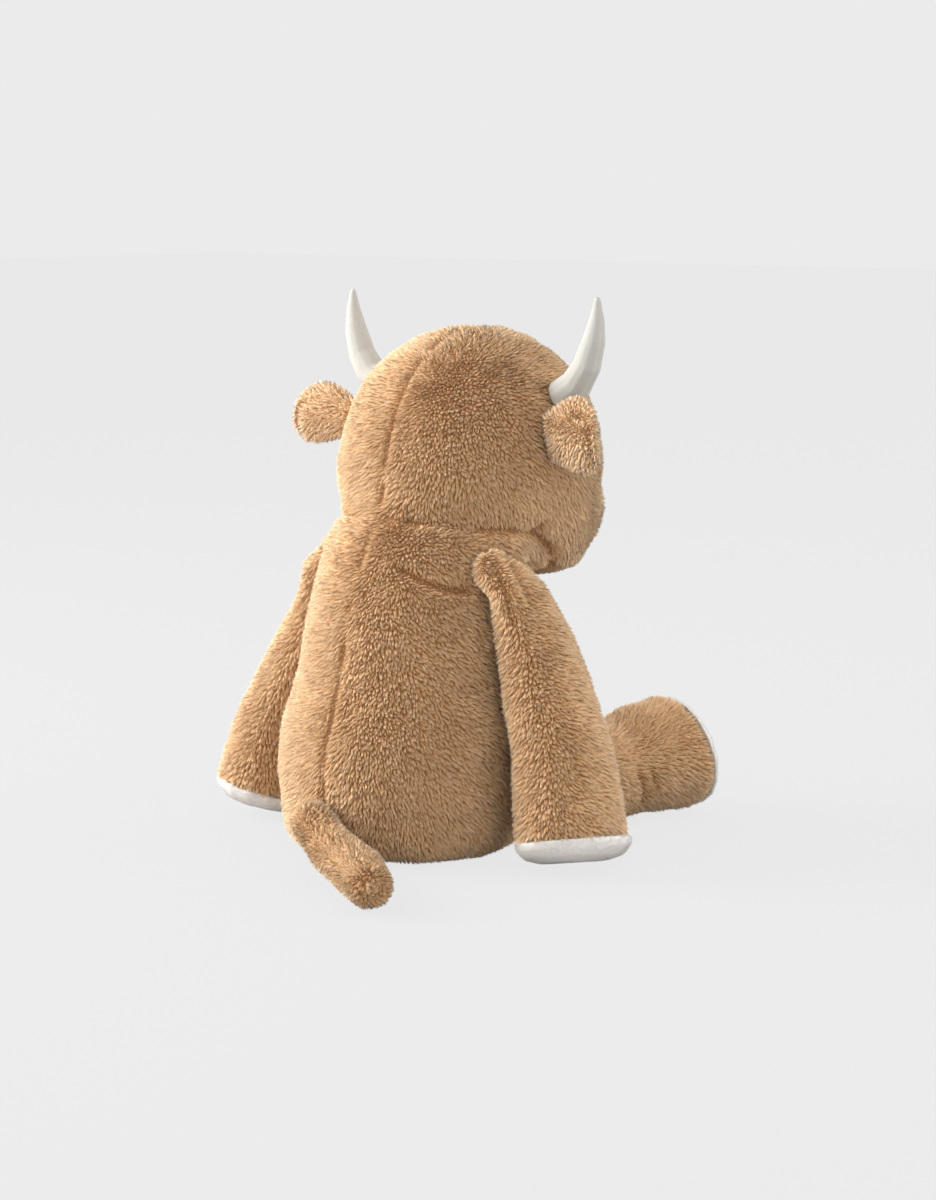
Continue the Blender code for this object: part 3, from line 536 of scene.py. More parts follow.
def add_hull(shape, spots):
    """Add the convex hull of some places to a shape."""
    fill = bmesh.new()
    for spot in spots:
        fill.verts.new(spot)
    bmesh.ops.convex_hull(fill, input=fill.verts[:])
    mesh = bpy.data.meshes.new("fill")
    fill.to_mesh(mesh)
    fill.free()
    shape.from_mesh(mesh)


def neck_fill(shape):
    """Fill the hollow between the head and the shoulders, so that both are one form there."""
    spots = ball_ring(HEAD_CENTRE, HEAD_RADIUS, NECK_WALL_TOP)
    for level in range(NECK_LEVELS + 1):
        spots += ball_ring(NECK_PIVOT, NECK_FILL_RADIUS, NECK_BOWL_TOP - level * NECK_BOWL_STEP)
    add_hull(shape, spots)


def jaw_fill(shape):
    """Full cheeks, from the ball of the head down to the muzzle."""
    spots = []
    for node in HEAD_NODES:
        places = [vert.co.copy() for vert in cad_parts[node].data.vertices]
        spots += [place for place in places if place.z < JAW_FILL_TOP]
    for back, height, radius in CHEEK_RINGS:
        spots += ring(Vector((0.0, back, 0.0)), radius, height)
    add_hull(shape, spots)


def ring(centre, radius, height):
    """Points round a level circle."""
    spots = []
    for step in range(NECK_SIDES):
        angle = math.tau * step / NECK_SIDES
        spots.append((centre.x + radius * math.cos(angle), centre.y + radius * math.sin(angle), height))
    return spots


def ball_ring(centre, radius, height):
    """Points round a ball at one height."""
    return ring(centre, math.sqrt(radius ** 2 - (centre.z - height) ** 2), height)


def keep_largest(places, triangles):
    """The island with the most points, without the hollows inside it."""
    label = np.arange(len(places))
    while True:
        low = label[triangles].min(1)
        newer = label.copy()
        for corner in range(3):
            np.minimum.at(newer, triangles[:, corner], low)
        newer = newer[newer]
        if (newer == label).all():
            break
        label = newer
    names, counts = np.unique(label, return_counts=True)
    kept = label == names[counts.argmax()]
    number = np.cumsum(kept) - 1
    return places[kept], number[triangles[kept[triangles[:, 0]]]]


def placed(name, data):
    """A new object in the scene."""
    made = bpy.data.objects.new(name, data)
    bpy.context.scene.collection.objects.link(made)
    return made


def solid_form(shape, voxel):
    """One closed form round overlapping solids, as places and triangles."""
    mesh = bpy.data.meshes.new("form")
    shape.to_mesh(mesh)
    shape.free()
    form = placed("form", mesh)
    remesh = form.modifiers.new("remesh", "REMESH")
    remesh.mode = "VOXEL"
    remesh.voxel_size = voxel
    graph = bpy.context.evaluated_depsgraph_get()
    made = bpy.data.meshes.new_from_object(form.evaluated_get(graph))
    bpy.data.objects.remove(form)
    return keep_largest(*arrays(made))


def edge_pairs(triangles):
    return np.vstack([triangles[:, [0, 1]], triangles[:, [1, 2]], triangles[:, [2, 0]]])


def neighbour_pairs(triangles):
    pairs = edge_pairs(triangles)
    return np.vstack([pairs, pairs[:, ::-1]])


def pulled(places, pairs, amount):
    """Move each point towards the middle of its neighbours."""
    count = np.maximum(np.bincount(pairs[:, 0], minlength=len(places)), 1)[:, None]
    total = np.zeros_like(places)
    for axis in range(places.shape[1]):
        total[:, axis] = np.bincount(pairs[:, 0], places[pairs[:, 1], axis], len(places))
    return places + (total / count - places) * amount


def relax(places, triangles, rounds):
    """Smooth a form without shrinking it, by steps that shrink and grow in turn."""
    pairs = neighbour_pairs(triangles)
    for _ in range(rounds):
        places = pulled(places, pairs, RELAX_OUT)
        places = pulled(places, pairs, RELAX_BACK)
    return places


def simulated(places, triangles, pinned):
    """Places of a closed cloth after the filling has pressed it outwards."""
    piece = make_object("cloth", places, triangles, None)
    group = piece.vertex_groups.new(name="pins")
    group.add(np.nonzero(pinned)[0].tolist(), 1.0, "REPLACE")
    cloth = piece.modifiers.new("cloth", "CLOTH").settings
    cloth.use_pressure = True
    cloth.uniform_pressure_force = STUFF_PRESSURE
    cloth.vertex_group_mass = "pins"
    cloth.effector_weights.gravity = 0.0
    scene = bpy.context.scene
    for step in range(1, STUFF_FRAMES + 1):
        scene.frame_set(step)
    made = bpy.data.meshes.new_from_object(piece.evaluated_get(bpy.context.evaluated_depsgraph_get()))
    moved = arrays(made)[0]
    bpy.data.objects.remove(piece)
    scene.frame_set(1)
    return moved


def point_tree(points):
    tree = KDTree(len(points))
    for number, point in enumerate(points):
        tree.insert(point, number)
    tree.balance()
    return tree


def stuffed(places, triangles, gaps=(), small=False):
    """Swell a form by cloth simulation, held in at its seams, and carry the movement to all its points."""
    voxel = STUFF_SMALL_VOXEL if small else STUFF_VOXEL
    start = inset(places, triangles, STUFF_SMALL_INSET if small else STUFF_INSET)
    shape = bmesh.new()
    mesh = bpy.data.meshes.new("small")
    mesh.from_pydata(start.tolist(), [], triangles.tolist())
    shape.from_mesh(mesh)
    rest, faces = solid_form(shape, voxel)
    tree = point_tree(start)
    closest = [tree.find(place)[1] for place in rest]
    pinned = np.zeros(len(rest), bool)
    for gap in gaps:
        pinned |= gap[closest] < STUFF_PIN
    move = simulated(rest, faces, pinned) - rest
    if not pinned.any():
        move -= move.mean(0)
    length = np.linalg.norm(move, axis=1, keepdims=True)
    move *= np.minimum(1.0, STUFF_CAP / np.maximum(length, TINY))
    tree = point_tree(rest)
    found = [tree.find_n(place, STUFF_NEAREST) for place in start]
    picks = np.array([[hit[1] for hit in hits] for hits in found])
    weights = 1.0 / (np.array([[hit[2] for hit in hits] for hits in found]) + MM)
    weights /= weights.sum(1, keepdims=True)
    return start + (move[picks] * weights[:, :, None]).sum(1)


def lumpy(places, triangles, salt):
    """Uneven filling under the cloth."""
    height = soft_noise(places, LUMP_SIZE, salt) * LUMP_HEIGHT
    height += soft_noise(places, SMALL_LUMP_SIZE, salt + 1) * SMALL_LUMP_HEIGHT
    return places + point_normals(places, triangles) * height[:, None]


def smooth_normals(places, triangles):
    """Normals that turn softly round edges, so that an inset doesn't fold over."""
    normals = point_normals(places, triangles)
    pairs = neighbour_pairs(triangles)
    for _ in range(NORMAL_ROUNDS):
        normals = pulled(normals, pairs, NORMAL_PULL)
    return unit(normals)


def inset(places, triangles, depth):
    moved = places - smooth_normals(places, triangles) * depth
    return pulled(moved, neighbour_pairs(triangles), INSET_PULL)


def node_gap(places, nodes):
    """Distance from each place to the nearest face of some CAD nodes."""
    shape = cad_shape(nodes)
    tree = BVHTree.FromBMesh(shape)
    gaps = np.array([tree.find_nearest(place)[3] for place in places])
    shape.free()
    return gaps


def line_gap(places, points):
    """Distance from each place to a line through points."""
    best = np.full(len(places), np.inf)
    for start, end in zip(points, points[1:]):
        start, end = np.array(start), np.array(end)
        way = end - start
        share = ((places - start) @ way / (way @ way)).clip(0, 1)[:, None]
        best = np.minimum(best, np.linalg.norm(places - start - way * share, axis=1))
    return best


def point_gap(places, points, reach):
    """Distance from each place to the nearest of some points, up to a reach."""
    tree = point_tree(points)
    gaps = np.full(len(places), FAR)
    low, high = points.min(0) - reach, points.max(0) + reach
    near = ((places > low) & (places < high)).all(1)
    gaps[near] = [tree.find(place)[2] for place in places[near]]
    return gaps


def sew(places, triangles, gaps, depth=SEAM_DEPTH, width=SEAM_WIDTH):
    """Draw the cloth in along seams, whose distances are given."""
    push = sum(depth * np.exp(-(gap / width) ** 2) for gap in gaps)
    return places - point_normals(places, triangles) * push[:, None]


def broken(gap, places):
    """A seam that shows only here and there between the hairs."""
    hidden = np.clip(-soft_noise(places, SEAM_BREAK, SEAM_BREAK_SALT) - SEAM_BREAK_LEVEL, 0, 1)
    return gap + hidden * SEAM_BREAK_GAP


def seam_cover(gaps, width=SEAM_WIDTH):
    """Share of the fur's length that is left beside seams."""
    near = np.zeros(len(gaps[0]))
    for gap in gaps:
        near = np.maximum(near, np.exp(-(gap / width) ** 2))
    return 1.0 - (1.0 - SEAM_FUR_SHARE) * near


def masked(gap, mask):
    """A seam's distance where the mask holds, and none elsewhere."""
    return np.where(mask, gap, FAR)


def make_object(name, places, faces, material):
    mesh = bpy.data.meshes.new(name)
    mesh.from_pydata(places.tolist(), [], faces.tolist())
    if material:
        mesh.materials.append(material)
    mesh.shade_smooth()
    return placed(name, mesh)


def add_piece(name, places, faces, material, body, slot, nodes=(), fill=None):
    """A piece that rides a body, takes a finish and may stand for CAD nodes."""
    piece = make_object(name, places, faces, material)
    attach(piece, body)
    if nodes:
        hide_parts(*nodes)
    return piece


def nearest_clump(places, size):
    """Middle and number of the clump that each place belongs to, one jittered point in each grid cell."""
    cell = np.floor(places / size).astype(np.int64)
    best = np.full(len(places), np.inf)
    chosen = np.zeros_like(places)
    number = np.zeros(len(places))
    for step in np.ndindex(3, 3, 3):
        near = cell + np.array(step) - 1
        jitter = np.stack([hashed(near, salt) for salt in CLUMP_SALTS], 1)
        centre = (near + jitter) * size
        distance = ((centre - places) ** 2).sum(1)
        closer = distance < best
        best[closer] = distance[closer]
        chosen[closer] = centre[closer]
        number[closer] = hashed(near[closer], CLUMP_NUMBER_SALT)
    return chosen, number


def spread(random, places, triangles, cover, per_mm2):
    """Even random points on a form, with their normals and cover."""
    areas = triangle_areas(places, triangles)
    count = int(areas.sum() / MM ** 2 * per_mm2)
    pick = np.searchsorted(np.cumsum(areas), random.random(count) * areas.sum()).clip(0, len(areas) - 1)
    first, second = random.random((2, count, 1))
    flip = (first + second) > 1.0
    first, second = np.where(flip, 1.0 - first, first), np.where(flip, 1.0 - second, second)
    shares = np.hstack([1.0 - first - second, first, second])[:, :, None]
    normals = smooth_normals(places, triangles)
    sharp = point_normals(places, triangles)
    root = (places[triangles[pick]] * shares).sum(1)
    normal = unit((normals[triangles[pick]] * shares).sum(1))
    covered = (cover[triangles[pick]] * shares[:, :, 0]).sum(1)
    true_way = (sharp[triangles[pick]] * shares).sum(1)
    keep = (covered > LEAST_COVER) & ((true_way * normal).sum(1) > LEAST_FACING)
    return root[keep], normal[keep], covered[keep]


def along_surface(vectors, normal):
    return unit(vectors - normal * (vectors * normal).sum(1, keepdims=True))


def grow_fur(name, form, cover, flow_for, body, material, number, length=1.0, density=1.0, paler=0.0):
    """Tapered strands over a form, combed along its flow and drawn together in clumps."""
    random = np.random.default_rng(SEED + number)
    root, normal, covered = spread(random, *form, cover, STRANDS_PER_MM2 * density)
    count = len(root)
    flow = along_surface(flow_for(root, normal), normal)
    side = np.cross(normal, flow)
    swirl = random.normal(0.0, SWIRL_RANDOM, count) + soft_noise(root, SWIRL_SIZE, SWIRL_SALT) * SWIRL_SOFT
    flow = unit(flow + side * swirl[:, None])
    stretch = 1.0 - (1.0 - CLUMP_STRETCH) * np.abs(flow.mean(0))[None]
    clump, clump_number = nearest_clump((root + flow * MM) * stretch, CLUMP)
    offset = clump / stretch - root - flow * MM
    offset -= normal * (offset * normal).sum(1, keepdims=True)
    grow = (random.uniform(*STRAND_GROW, count) * covered * length)[:, None]
    lift = 1.0 + soft_noise(root, LIFT_SIZE, LIFT_SALT) * LIFT_SOFT + (clump_number - MIDDLE) * LIFT_CLUMP
    lift = lift[:, None]
    tip = root + normal * STRAND_RISE * grow * lift + flow * STRAND_REACH * grow + offset * CLUMP_PULL
    base = root - normal * STRAND_ROOT
    tone = MIDDLE + CLUMP_TONE * (clump_number - MIDDLE) + random.normal(0.0, STRAND_TONE, count) + paler
    # Short strands by seams, darts, eyes, nose and pad edges are darker: painted shade in those creases
    tone = tone * (SHORT_SHADE_TONE + (1.0 - SHORT_SHADE_TONE) * covered)
    radius = STRAND_RADIUS * random.uniform(*STRAND_THICKNESS, count)
    bend = normal - offset / CLUMP * CLUMP_BEND
    order = np.argsort(root[:, 2])
    for share, part in enumerate(np.array_split(order, math.ceil(count / STRANDS_IN_PIECE))):
        strands = (base[part], tip[part], radius[part], bend[part], tone[part])
        add_strands(f"{name}_{share}", *strands, material, body, "tan_fur")


def grow_nap(name, form, cover, body, material, slot, number):
    """Short upright nap over a pad."""
    random = np.random.default_rng(SEED + number)
    root, normal, covered = spread(random, *form, cover, NAP_PER_MM2)
    count = len(root)
    lean = along_surface(random.normal(0.0, 1.0, (count, 3)), normal)
    grow = (random.uniform(*NAP_RANGE, count) * covered)[:, None]
    tip = root + normal * NAP_RISE * grow + lean * NAP_REACH * grow
    base = root - normal * NAP_RISE
    tone = NAP_TONE + random.normal(0.0, NAP_TONE_RANDOM, count)
    radius = NAP_RADIUS * random.uniform(*NAP_RANGE, count)
    add_strands(name, base, tip, radius, normal, tone, material, body, slot)


def add_strands(name, base, tip, radius, bend, tone, material, body, slot):
    """Mesh of separate three-sided strands, each with its own small cell in the colour map."""
    count = len(base)
    axis = unit(tip - base)
    across = unit(np.cross(axis, np.roll(axis, 1, axis=1) + ACROSS_SHIFT))
    along = np.cross(axis, across)
    angles = np.arange(STRAND_SIDES) * math.tau / STRAND_SIDES
    rim = across[:, None] * np.cos(angles)[None, :, None] + along[:, None] * np.sin(angles)[None, :, None]
    points = np.concatenate([base[:, None] + rim * radius[:, None, None], tip[:, None]], 1)
    points[:, :, 2] = np.maximum(points[:, :, 2], FLOOR_GAP)
    sides = bend[:, None] * NORMAL_SHARE + rim * RADIAL_SHARE
    normals = unit(np.concatenate([sides, bend[:, None]], 1).reshape(-1, 3))
    # Roots darkened as painted shade in the pile, tips paled as a painted highlight
    low = tone * ROOT_SHADE_TONE
    tones = np.stack([low, low, low, tone + TIP_HIGHLIGHT_TONE], 1).clip(0, 1)
    mesh = bpy.data.meshes.new(name)
    mesh.vertices.add(count * STRAND_POINTS)
    mesh.vertices.foreach_set("co", points.astype(np.float32).ravel())
    index = np.arange(count * STRAND_POINTS).reshape(count, STRAND_POINTS)
    loops = index[:, STRAND_FACES].ravel().astype(np.int32)
    mesh.loops.add(len(loops))
    mesh.loops.foreach_set("vertex_index", loops)
    mesh.polygons.add(count * STRAND_SIDES)
    mesh.polygons.foreach_set("loop_start", np.arange(0, len(loops), 3, dtype=np.int32))
    mesh.attributes.new("custom_normal", "FLOAT_VECTOR", "POINT")
    mesh.attributes["custom_normal"].data.foreach_set("vector", normals.astype(np.float32).ravel())
    mesh.attributes.new("fur_tone", "FLOAT", "POINT")
    mesh.attributes["fur_tone"].data.foreach_set("value", tones.astype(np.float32).ravel())
    cells = int(math.ceil(math.sqrt(count)))
    corner = np.stack([np.arange(count) % cells, np.arange(count) // cells], 1)[:, None]
    inside = np.array(STRAND_CELL)[None]
    uv = ((corner + inside) / cells).reshape(-1, 2)[loops]
    mesh.uv_layers.new(name="OFBake")
    mesh.uv_layers["OFBake"].data.foreach_set("uv", uv.astype(np.float32).ravel())
    mesh.materials.append(material)
    mesh.update()
    piece = placed(name, mesh)
    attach(piece, body)


def towards(root, direction):
    return np.tile(np.array(direction, float), (len(root), 1))


def parted(root, comb, amount):
    """One way for all hairs, turned away from the middle line."""
    flow = towards(root, comb)
    flow[:, 0] += np.tanh(root[:, 0] / PART_WIDTH) * amount
    return flow


def torso_flow(root, normal):
    """Down the body and a little away from the spine."""
    return parted(root, TORSO_COMB, TORSO_PART)


def head_flow(root, normal):
    """Down the back of the head, and away from the nose over the face."""
    down = parted(root, HEAD_COMB, HEAD_PART)
    away = unit(root - np.array(FACE_COMB_FROM))
    share = np.clip((FACE_COMB_START - root[:, 1]) / FACE_COMB_FADE, 0, 1)[:, None]
    return down * (1 - share) + (away + down * FACE_COMB_DOWN) * share


def combed(comb, side=1.0):
    """One way for all hairs of a part on the given side."""
    return lambda root, normal: towards(root, (side * comb[0], *comb[1:]))


def ear_flow(side):
    """Out from the root and from the fold along the ear's middle."""
    def flow(root, normal):
        out = towards(root, (side, *EAR_COMB))
        out[:, 2] += np.clip((root[:, 2] - EAR_PART_Z) / EAR_PART_FADE, -1, 1) * EAR_PART
        return out
    return flow


def split_neck(places, triangles):
    """Which triangles belong to the head, and the points on the line between."""
    near = (places[:, 2] > NECK_LOW) & (places[:, 2] < NECK_HIGH)
    lead = np.where(places[:, 2] > NECK_MIDDLE, NECK_LEAD, -NECK_LEAD)
    lead[near] = node_gap(places[near], TORSO_NODES) - node_gap(places[near], HEAD_NODES)
    lead = np.clip(lead, -NECK_LEAD, NECK_LEAD)[:, None]
    pairs = neighbour_pairs(triangles)
    for _ in range(NECK_LINE_ROUNDS):
        lead = pulled(lead, pairs, NECK_LINE_PULL)
    in_head = (lead[triangles, 0] > 0).sum(1) >= 2
    head_points = np.zeros(len(places), bool)
    torso_points = np.zeros(len(places), bool)
    head_points[triangles[in_head]] = True
    torso_points[triangles[~in_head]] = True
    return in_head, np.nonzero(head_points & torso_points)[0]


def close_form(places, triangles, centre):
    """Turn the open edge of a form inwards and close it across the middle."""
    edges = edge_pairs(triangles).tolist()
    used = {tuple(edge) for edge in edges}
    open_edges = [edge for edge in edges if (edge[1], edge[0]) not in used]
    rim = np.unique(open_edges)
    lip = places[rim] + (np.array(centre) - places[rim]) * NECK_LIP_SHARE
    number = {old: len(places) + step for step, old in enumerate(rim.tolist())}
    middle = len(places) + len(rim)
    extra = []
    for start, end in open_edges:
        low, high = number[start], number[end]
        extra += [(end, start, low), (end, low, high), (high, low, middle)]
    return np.vstack([places, lip, lip.mean(0)[None]]), np.vstack([triangles, extra])


def compact(places, triangles, cover):
    """Drop the points that no triangle uses."""
    kept = np.unique(triangles)
    number = np.full(len(places), -1)
    number[kept] = np.arange(len(kept))
    return places[kept], number[triangles], cover[kept]


def face_side(places):
    """Distance ahead of the seam between the face and the back of the head."""
    seam = np.array(HEAD_CENTRE) - np.array((0.0, FACE_SEAM_AHEAD, 0.0))
    back = np.array((0.0, math.cos(FACE_SEAM_TILT), math.sin(FACE_SEAM_TILT)))
    return -((places - seam) @ back)


def eye_place(side):
    """Where an eye sits on the face, and its way out."""
    ahead = math.sqrt(1.0 - EYE_ACROSS ** 2 - EYE_RISE ** 2)
    way = Vector((side * EYE_ACROSS, -ahead, EYE_RISE))
    return HEAD_CENTRE + way * HEAD_RADIUS, way


def face_cover_share(places, cover):
    """Keep the fur short round the eyes and off the nose."""
    for side, _ in SIDES:
        gap = np.linalg.norm(places - np.array(eye_place(side)[0]), axis=1)
        cover = np.minimum(cover, np.clip((gap - EYE_RADIUS * EYE_FUR_SHARE) / EYE_FUR_FADE, 0, 1))
    return np.minimum(cover, np.clip((nose_gap(places) - NOSE_FUR_EDGE) / NOSE_FUR_FADE, 0, 1))


def nose_gap(places):
    """Distance from the middle of the nose patch, 1 at its edge."""
    front = places[:, 1] < MUZZLE_CENTRE.y
    spot = (places[:, [0, 2]] - np.array(NOSE_MIDDLE)) / np.array(NOSE_HALF)
    return np.where(front, np.linalg.norm(spot, axis=1), NOSE_FAR)


def trunk_form():
    """One smooth form of torso and head, which triangles are the head's, and the points between."""
    shape = cad_shape(TORSO_NODES + TORSO_INNER + HEAD_NODES + ["head_stuffing", "nose_pad"])
    neck_fill(shape)
    jaw_fill(shape)
    places, triangles = solid_form(shape, VOXEL)
    places = relax(places, triangles, RELAX_ROUNDS)
    in_head, line = split_neck(places, triangles)
    gap = point_gap(places, places[line], NECK_SMOOTH_REACH * 2)
    near = np.exp(-(gap / NECK_SMOOTH_REACH) ** 2)
    near *= np.clip((places[:, 1] - NECK_FRONT) / NECK_FADE, 0, 1)
    jaw = np.exp(-(face_side(places) / JAW_REACH) ** 2) * np.clip((JAW_TOP - places[:, 2]) / NECK_FADE, 0, 1)
    near = np.maximum(near, jaw * (places[:, 2] > NECK_LOW))
    pairs = neighbour_pairs(triangles)
    for _ in range(NECK_SMOOTH_ROUNDS):
        places = pulled(places, pairs, near[:, None] * NECK_SMOOTH_PULL)
    return places, triangles, in_head, line


def build_trunk(mats):
    """Torso and head, sewn and covered, each with its share of the form."""
    places, triangles, in_head, line = trunk_form()
    places = lumpy(places, triangles, TRUNK_LUMPS)
    neck = point_gap(places, places[line], NECK_GAP_REACH)
    of_torso = np.zeros(len(places), bool)
    of_torso[triangles[~in_head]] = True
    head_back = ~of_torso & (face_side(places) < 0)
    spine = masked(np.abs(places[:, 0]), head_back | (of_torso & (places[:, 1] > 0)))
    face = masked(np.abs(face_side(places)), ~of_torso & (places[:, 2] > FACE_SEAM_LOW))
    fold = line_gap(places, SHOULDER_FOLD)
    places = stuffed(places, triangles, [neck, spine, face, fold])
    seams = [broken(gap, places) for gap in (spine, face)]
    nape_seam = [broken(neck, places)]
    places = sew(places, triangles, nape_seam, NAPE_DEPTH, NAPE_WIDTH)
    places = sew(places, triangles, seams)
    nape = masked(neck, (places[:, 0] < NAPE_FOLD_X) & (places[:, 1] < NAPE_FOLD_Y))
    places = sew(places, triangles, [fold], FOLD_DEPTH, FOLD_WIDTH)
    places = sew(places, triangles, [nape], NAPE_FOLD_DEPTH, NAPE_FOLD_WIDTH)
    cover = np.minimum(seam_cover([*seams, fold]), seam_cover(nape_seam, NAPE_WIDTH))
    cover = face_cover_share(places, cover)
    hollow = np.clip((NOSE_HOLLOW_EDGE - nose_gap(places)) / NOSE_HOLLOW_FADE, 0, 1) * NOSE_HOLLOW
    places = inset(places, triangles, SKIN_INSET)
    places[:, 1] += hollow
    torso = compact(places, triangles[~in_head], cover)
    add_part("torso", torso, torso_flow, TORSO_NODES + TORSO_INNER, mats, {
        "back": lambda spot: spot[:, 1] > SIDE_SEAM_Y,
        "belly": lambda spot: spot[:, 1] <= SIDE_SEAM_Y,
    })
    head = compact(places, triangles[in_head], cover)
    add_part("head", head, head_flow, HEAD_NODES + ["head_stuffing"], mats, {
        "back": lambda spot: face_side(spot) < 0,
        "face": lambda spot: face_side(spot) >= 0,
    })


PIECE_NUMBERS = iter(range(PIECE_LIMIT))


def add_part(name, form, flow, nodes, mats, regions):
    """Skin and fur of a part that is open at the neck."""
    places, triangles, cover = form
    closed = close_form(places, triangles, NECK_PIVOT - Vector((0.0, 0.0, NECK_LIP_DROP)))
    add_piece(name + "_skin", *closed, mats["backing"], name, "tan_fur", nodes, SKIN_FILL)
    middles = places[triangles].mean(1)
    for word, mask in regions.items():
        part = (places, triangles[mask(middles)])
        grow_fur(f"{name}_fur_{word}", part, cover, flow, name, mats["fur"], next(PIECE_NUMBERS))


def mirrored(lines, side):
    """Lines measured on the right, moved to the given side."""
    return [[(-side * x, y, z) for x, y, z in line] for line in lines]


def dress(name, nodes, flow, mats, end=None, rise=0.0, small=False, darts=(), reshape=None, fur=FUR_PLAIN):
    """Skin and fur of a closed part, which runs on inside the pad at its end."""
    places, triangles = solid_form(cad_shape(nodes + ([end] if end else [])), EAR_VOXEL if small else VOXEL)
    places = relax(places, triangles, EAR_ROUNDS if small else RELAX_ROUNDS)
    cover = np.ones(len(places))
    if end:
        lead = node_gap(places, [end]) - node_gap(places, nodes)
        ragged = soft_noise(places, PAD_EDGE_SIZE, PAD_EDGE_SALT) * PAD_EDGE_WAVE
        cover = np.clip((lead - rise + ragged) / PAD_EDGE + PAD_EDGE_LEAD, 0, 1)
    places = lumpy(places, triangles, PART_LUMPS)
    gaps = [line_gap(places, dart) for dart in darts]
    places = stuffed(places, triangles, gaps, small)
    if gaps:
        places = sew(places, triangles, gaps, DART_DEPTH, DART_WIDTH)
        cover = cover * (DART_COVER + (1.0 - DART_COVER) * seam_cover(gaps))
    places = inset(places, triangles, EAR_SKIN_INSET if small else SKIN_INSET)
    if end:
        hidden = np.clip((rise - lead) / PAD_EDGE + MIDDLE, 0, 1)[:, None]
        places = places - smooth_normals(places, triangles) * hidden * PAD_HIDE
    if reshape:
        places = reshape(places)
    add_piece(name + "_skin", places, triangles, mats["backing"], name, "tan_fur", nodes, SKIN_FILL)
    number = next(PIECE_NUMBERS)
    grow_fur(name + "_fur", (places, triangles), cover, flow, name, mats["fur"], number, *fur)


def slim_shoulder(side):
    """The left arm's top lies closer to the body."""
    def reshape(places):
        moved = places.copy()
        share = np.clip((places[:, 2] - SHOULDER_LOW) / SHOULDER_RISE, 0, 1)
        moved[:, 0] -= SHOULDER_SHIFT * share * max(side, 0.0)
        return moved
    return reshape


def curled_ear(side):
    """The ear's outer end turned back and its long edges cupped."""
    def reshape(places):
        out = np.maximum(side * places[:, 0] - EAR_ROOT_X, 0.0)
        moved = places.copy()
        above = places[:, 2] - EAR_MIDDLE
        moved[:, 2] = EAR_MIDDLE + above * np.where(above > 0, EAR_TOP_SHARE, EAR_LOW_SHARE[side])
        moved[:, 0] -= side * out * (1.0 - math.cos(EAR_TURN))
        moved[:, 1] += out * math.sin(EAR_TURN) - EAR_CURL * above ** 2 * out
        return moved
    return reshape


def small_nose(places):
    """The nose patch is smaller than the end of the muzzle that it is sewn on, and stands a little proud."""
    middle = (places.min(0) + places.max(0)) / 2
    shift = np.array((0.0, -NOSE_PROUD, 0.0))
    return middle + shift + (places - middle) * np.array((NOSE_SHARE, 1.0, NOSE_SHARE))


def tall_pad(places):
    """The hand's pad reaches a little up the arm."""
    bottom, top = places[:, 2].min(), places[:, 2].max()
    share = (places[:, 2] - bottom) / (top - bottom)
    moved = places.copy()
    moved[:, 2] += share * HAND_PAD_RISE
    return moved


def tapered_horn(places):
    """Horn drawn in towards its tip, about the middle of each height."""
    top = places[:, 2].max()
    share = np.clip((top - places[:, 2]) / HORN_TIP_REACH, 0, 1)
    moved = places.copy()
    tip = places[places[:, 2] > top - HORN_TIP_DEPTH].mean(0)
    shrink = (1.0 - HORN_TIP_SHARE) * (1.0 - share) ** HORN_TIP_POWER
    moved[:, :2] += (tip[:2] - places[:, :2]) * shrink[:, None]
    return moved


def pad(name, node, body, mats, reshape=None, cloth="pale_cloth", nap=True):
    """Plush pad, rounded and bulging, with its short nap."""
    places, triangles = solid_form(cad_shape([node]), PAD_VOXEL)
    places = relax(places, triangles, PAD_ROUNDS)
    places = reshape(places) if reshape else places - point_normals(places, triangles) * PAD_INSET
    places = lumpy(places, triangles, PAD_LUMPS)
    places[:, 2] = np.maximum(places[:, 2], FLOOR_GAP)
    add_piece(name, places, triangles, mats[cloth], body, "white_plush", [node], PAD_FILL)
    number = next(PIECE_NUMBERS)
    if nap:
        cover = np.ones(len(places))
        grow_nap(name + "_nap", (places, triangles), cover, body, mats["pale"], "white_plush", number)


def horn(side, word, mats):
    """Horn with a seam along its outer side and a very short nap."""
    nodes = ["horn_cover_" + word, "horn_stuffing_" + word]
    places, triangles = solid_form(cad_shape(nodes), HORN_VOXEL)
    places = relax(places, triangles, HORN_ROUNDS)
    outer = side * point_normals(places, triangles)[:, 0] > 0.0
    seam = masked(np.abs(places[:, 1] - HORN_SEAM_Y), outer)
    places = tapered_horn(sew(places, triangles, [seam], HORN_SEAM_DEPTH, HORN_SEAM_WIDTH))
    add_piece("horn_" + word, places, triangles, mats["ivory_cloth"], "head", "ivory_cloth", nodes, HORN_FILL)


def tube_faces(rings, sides):
    """Triangles between the rings of a tube."""
    faces = []
    for level in range(rings - 1):
        for step in range(sides):
            low, high = level * sides + step, level * sides + (step + 1) % sides
            faces += [(low, high, high + sides), (low, high + sides, low + sides)]
    return faces


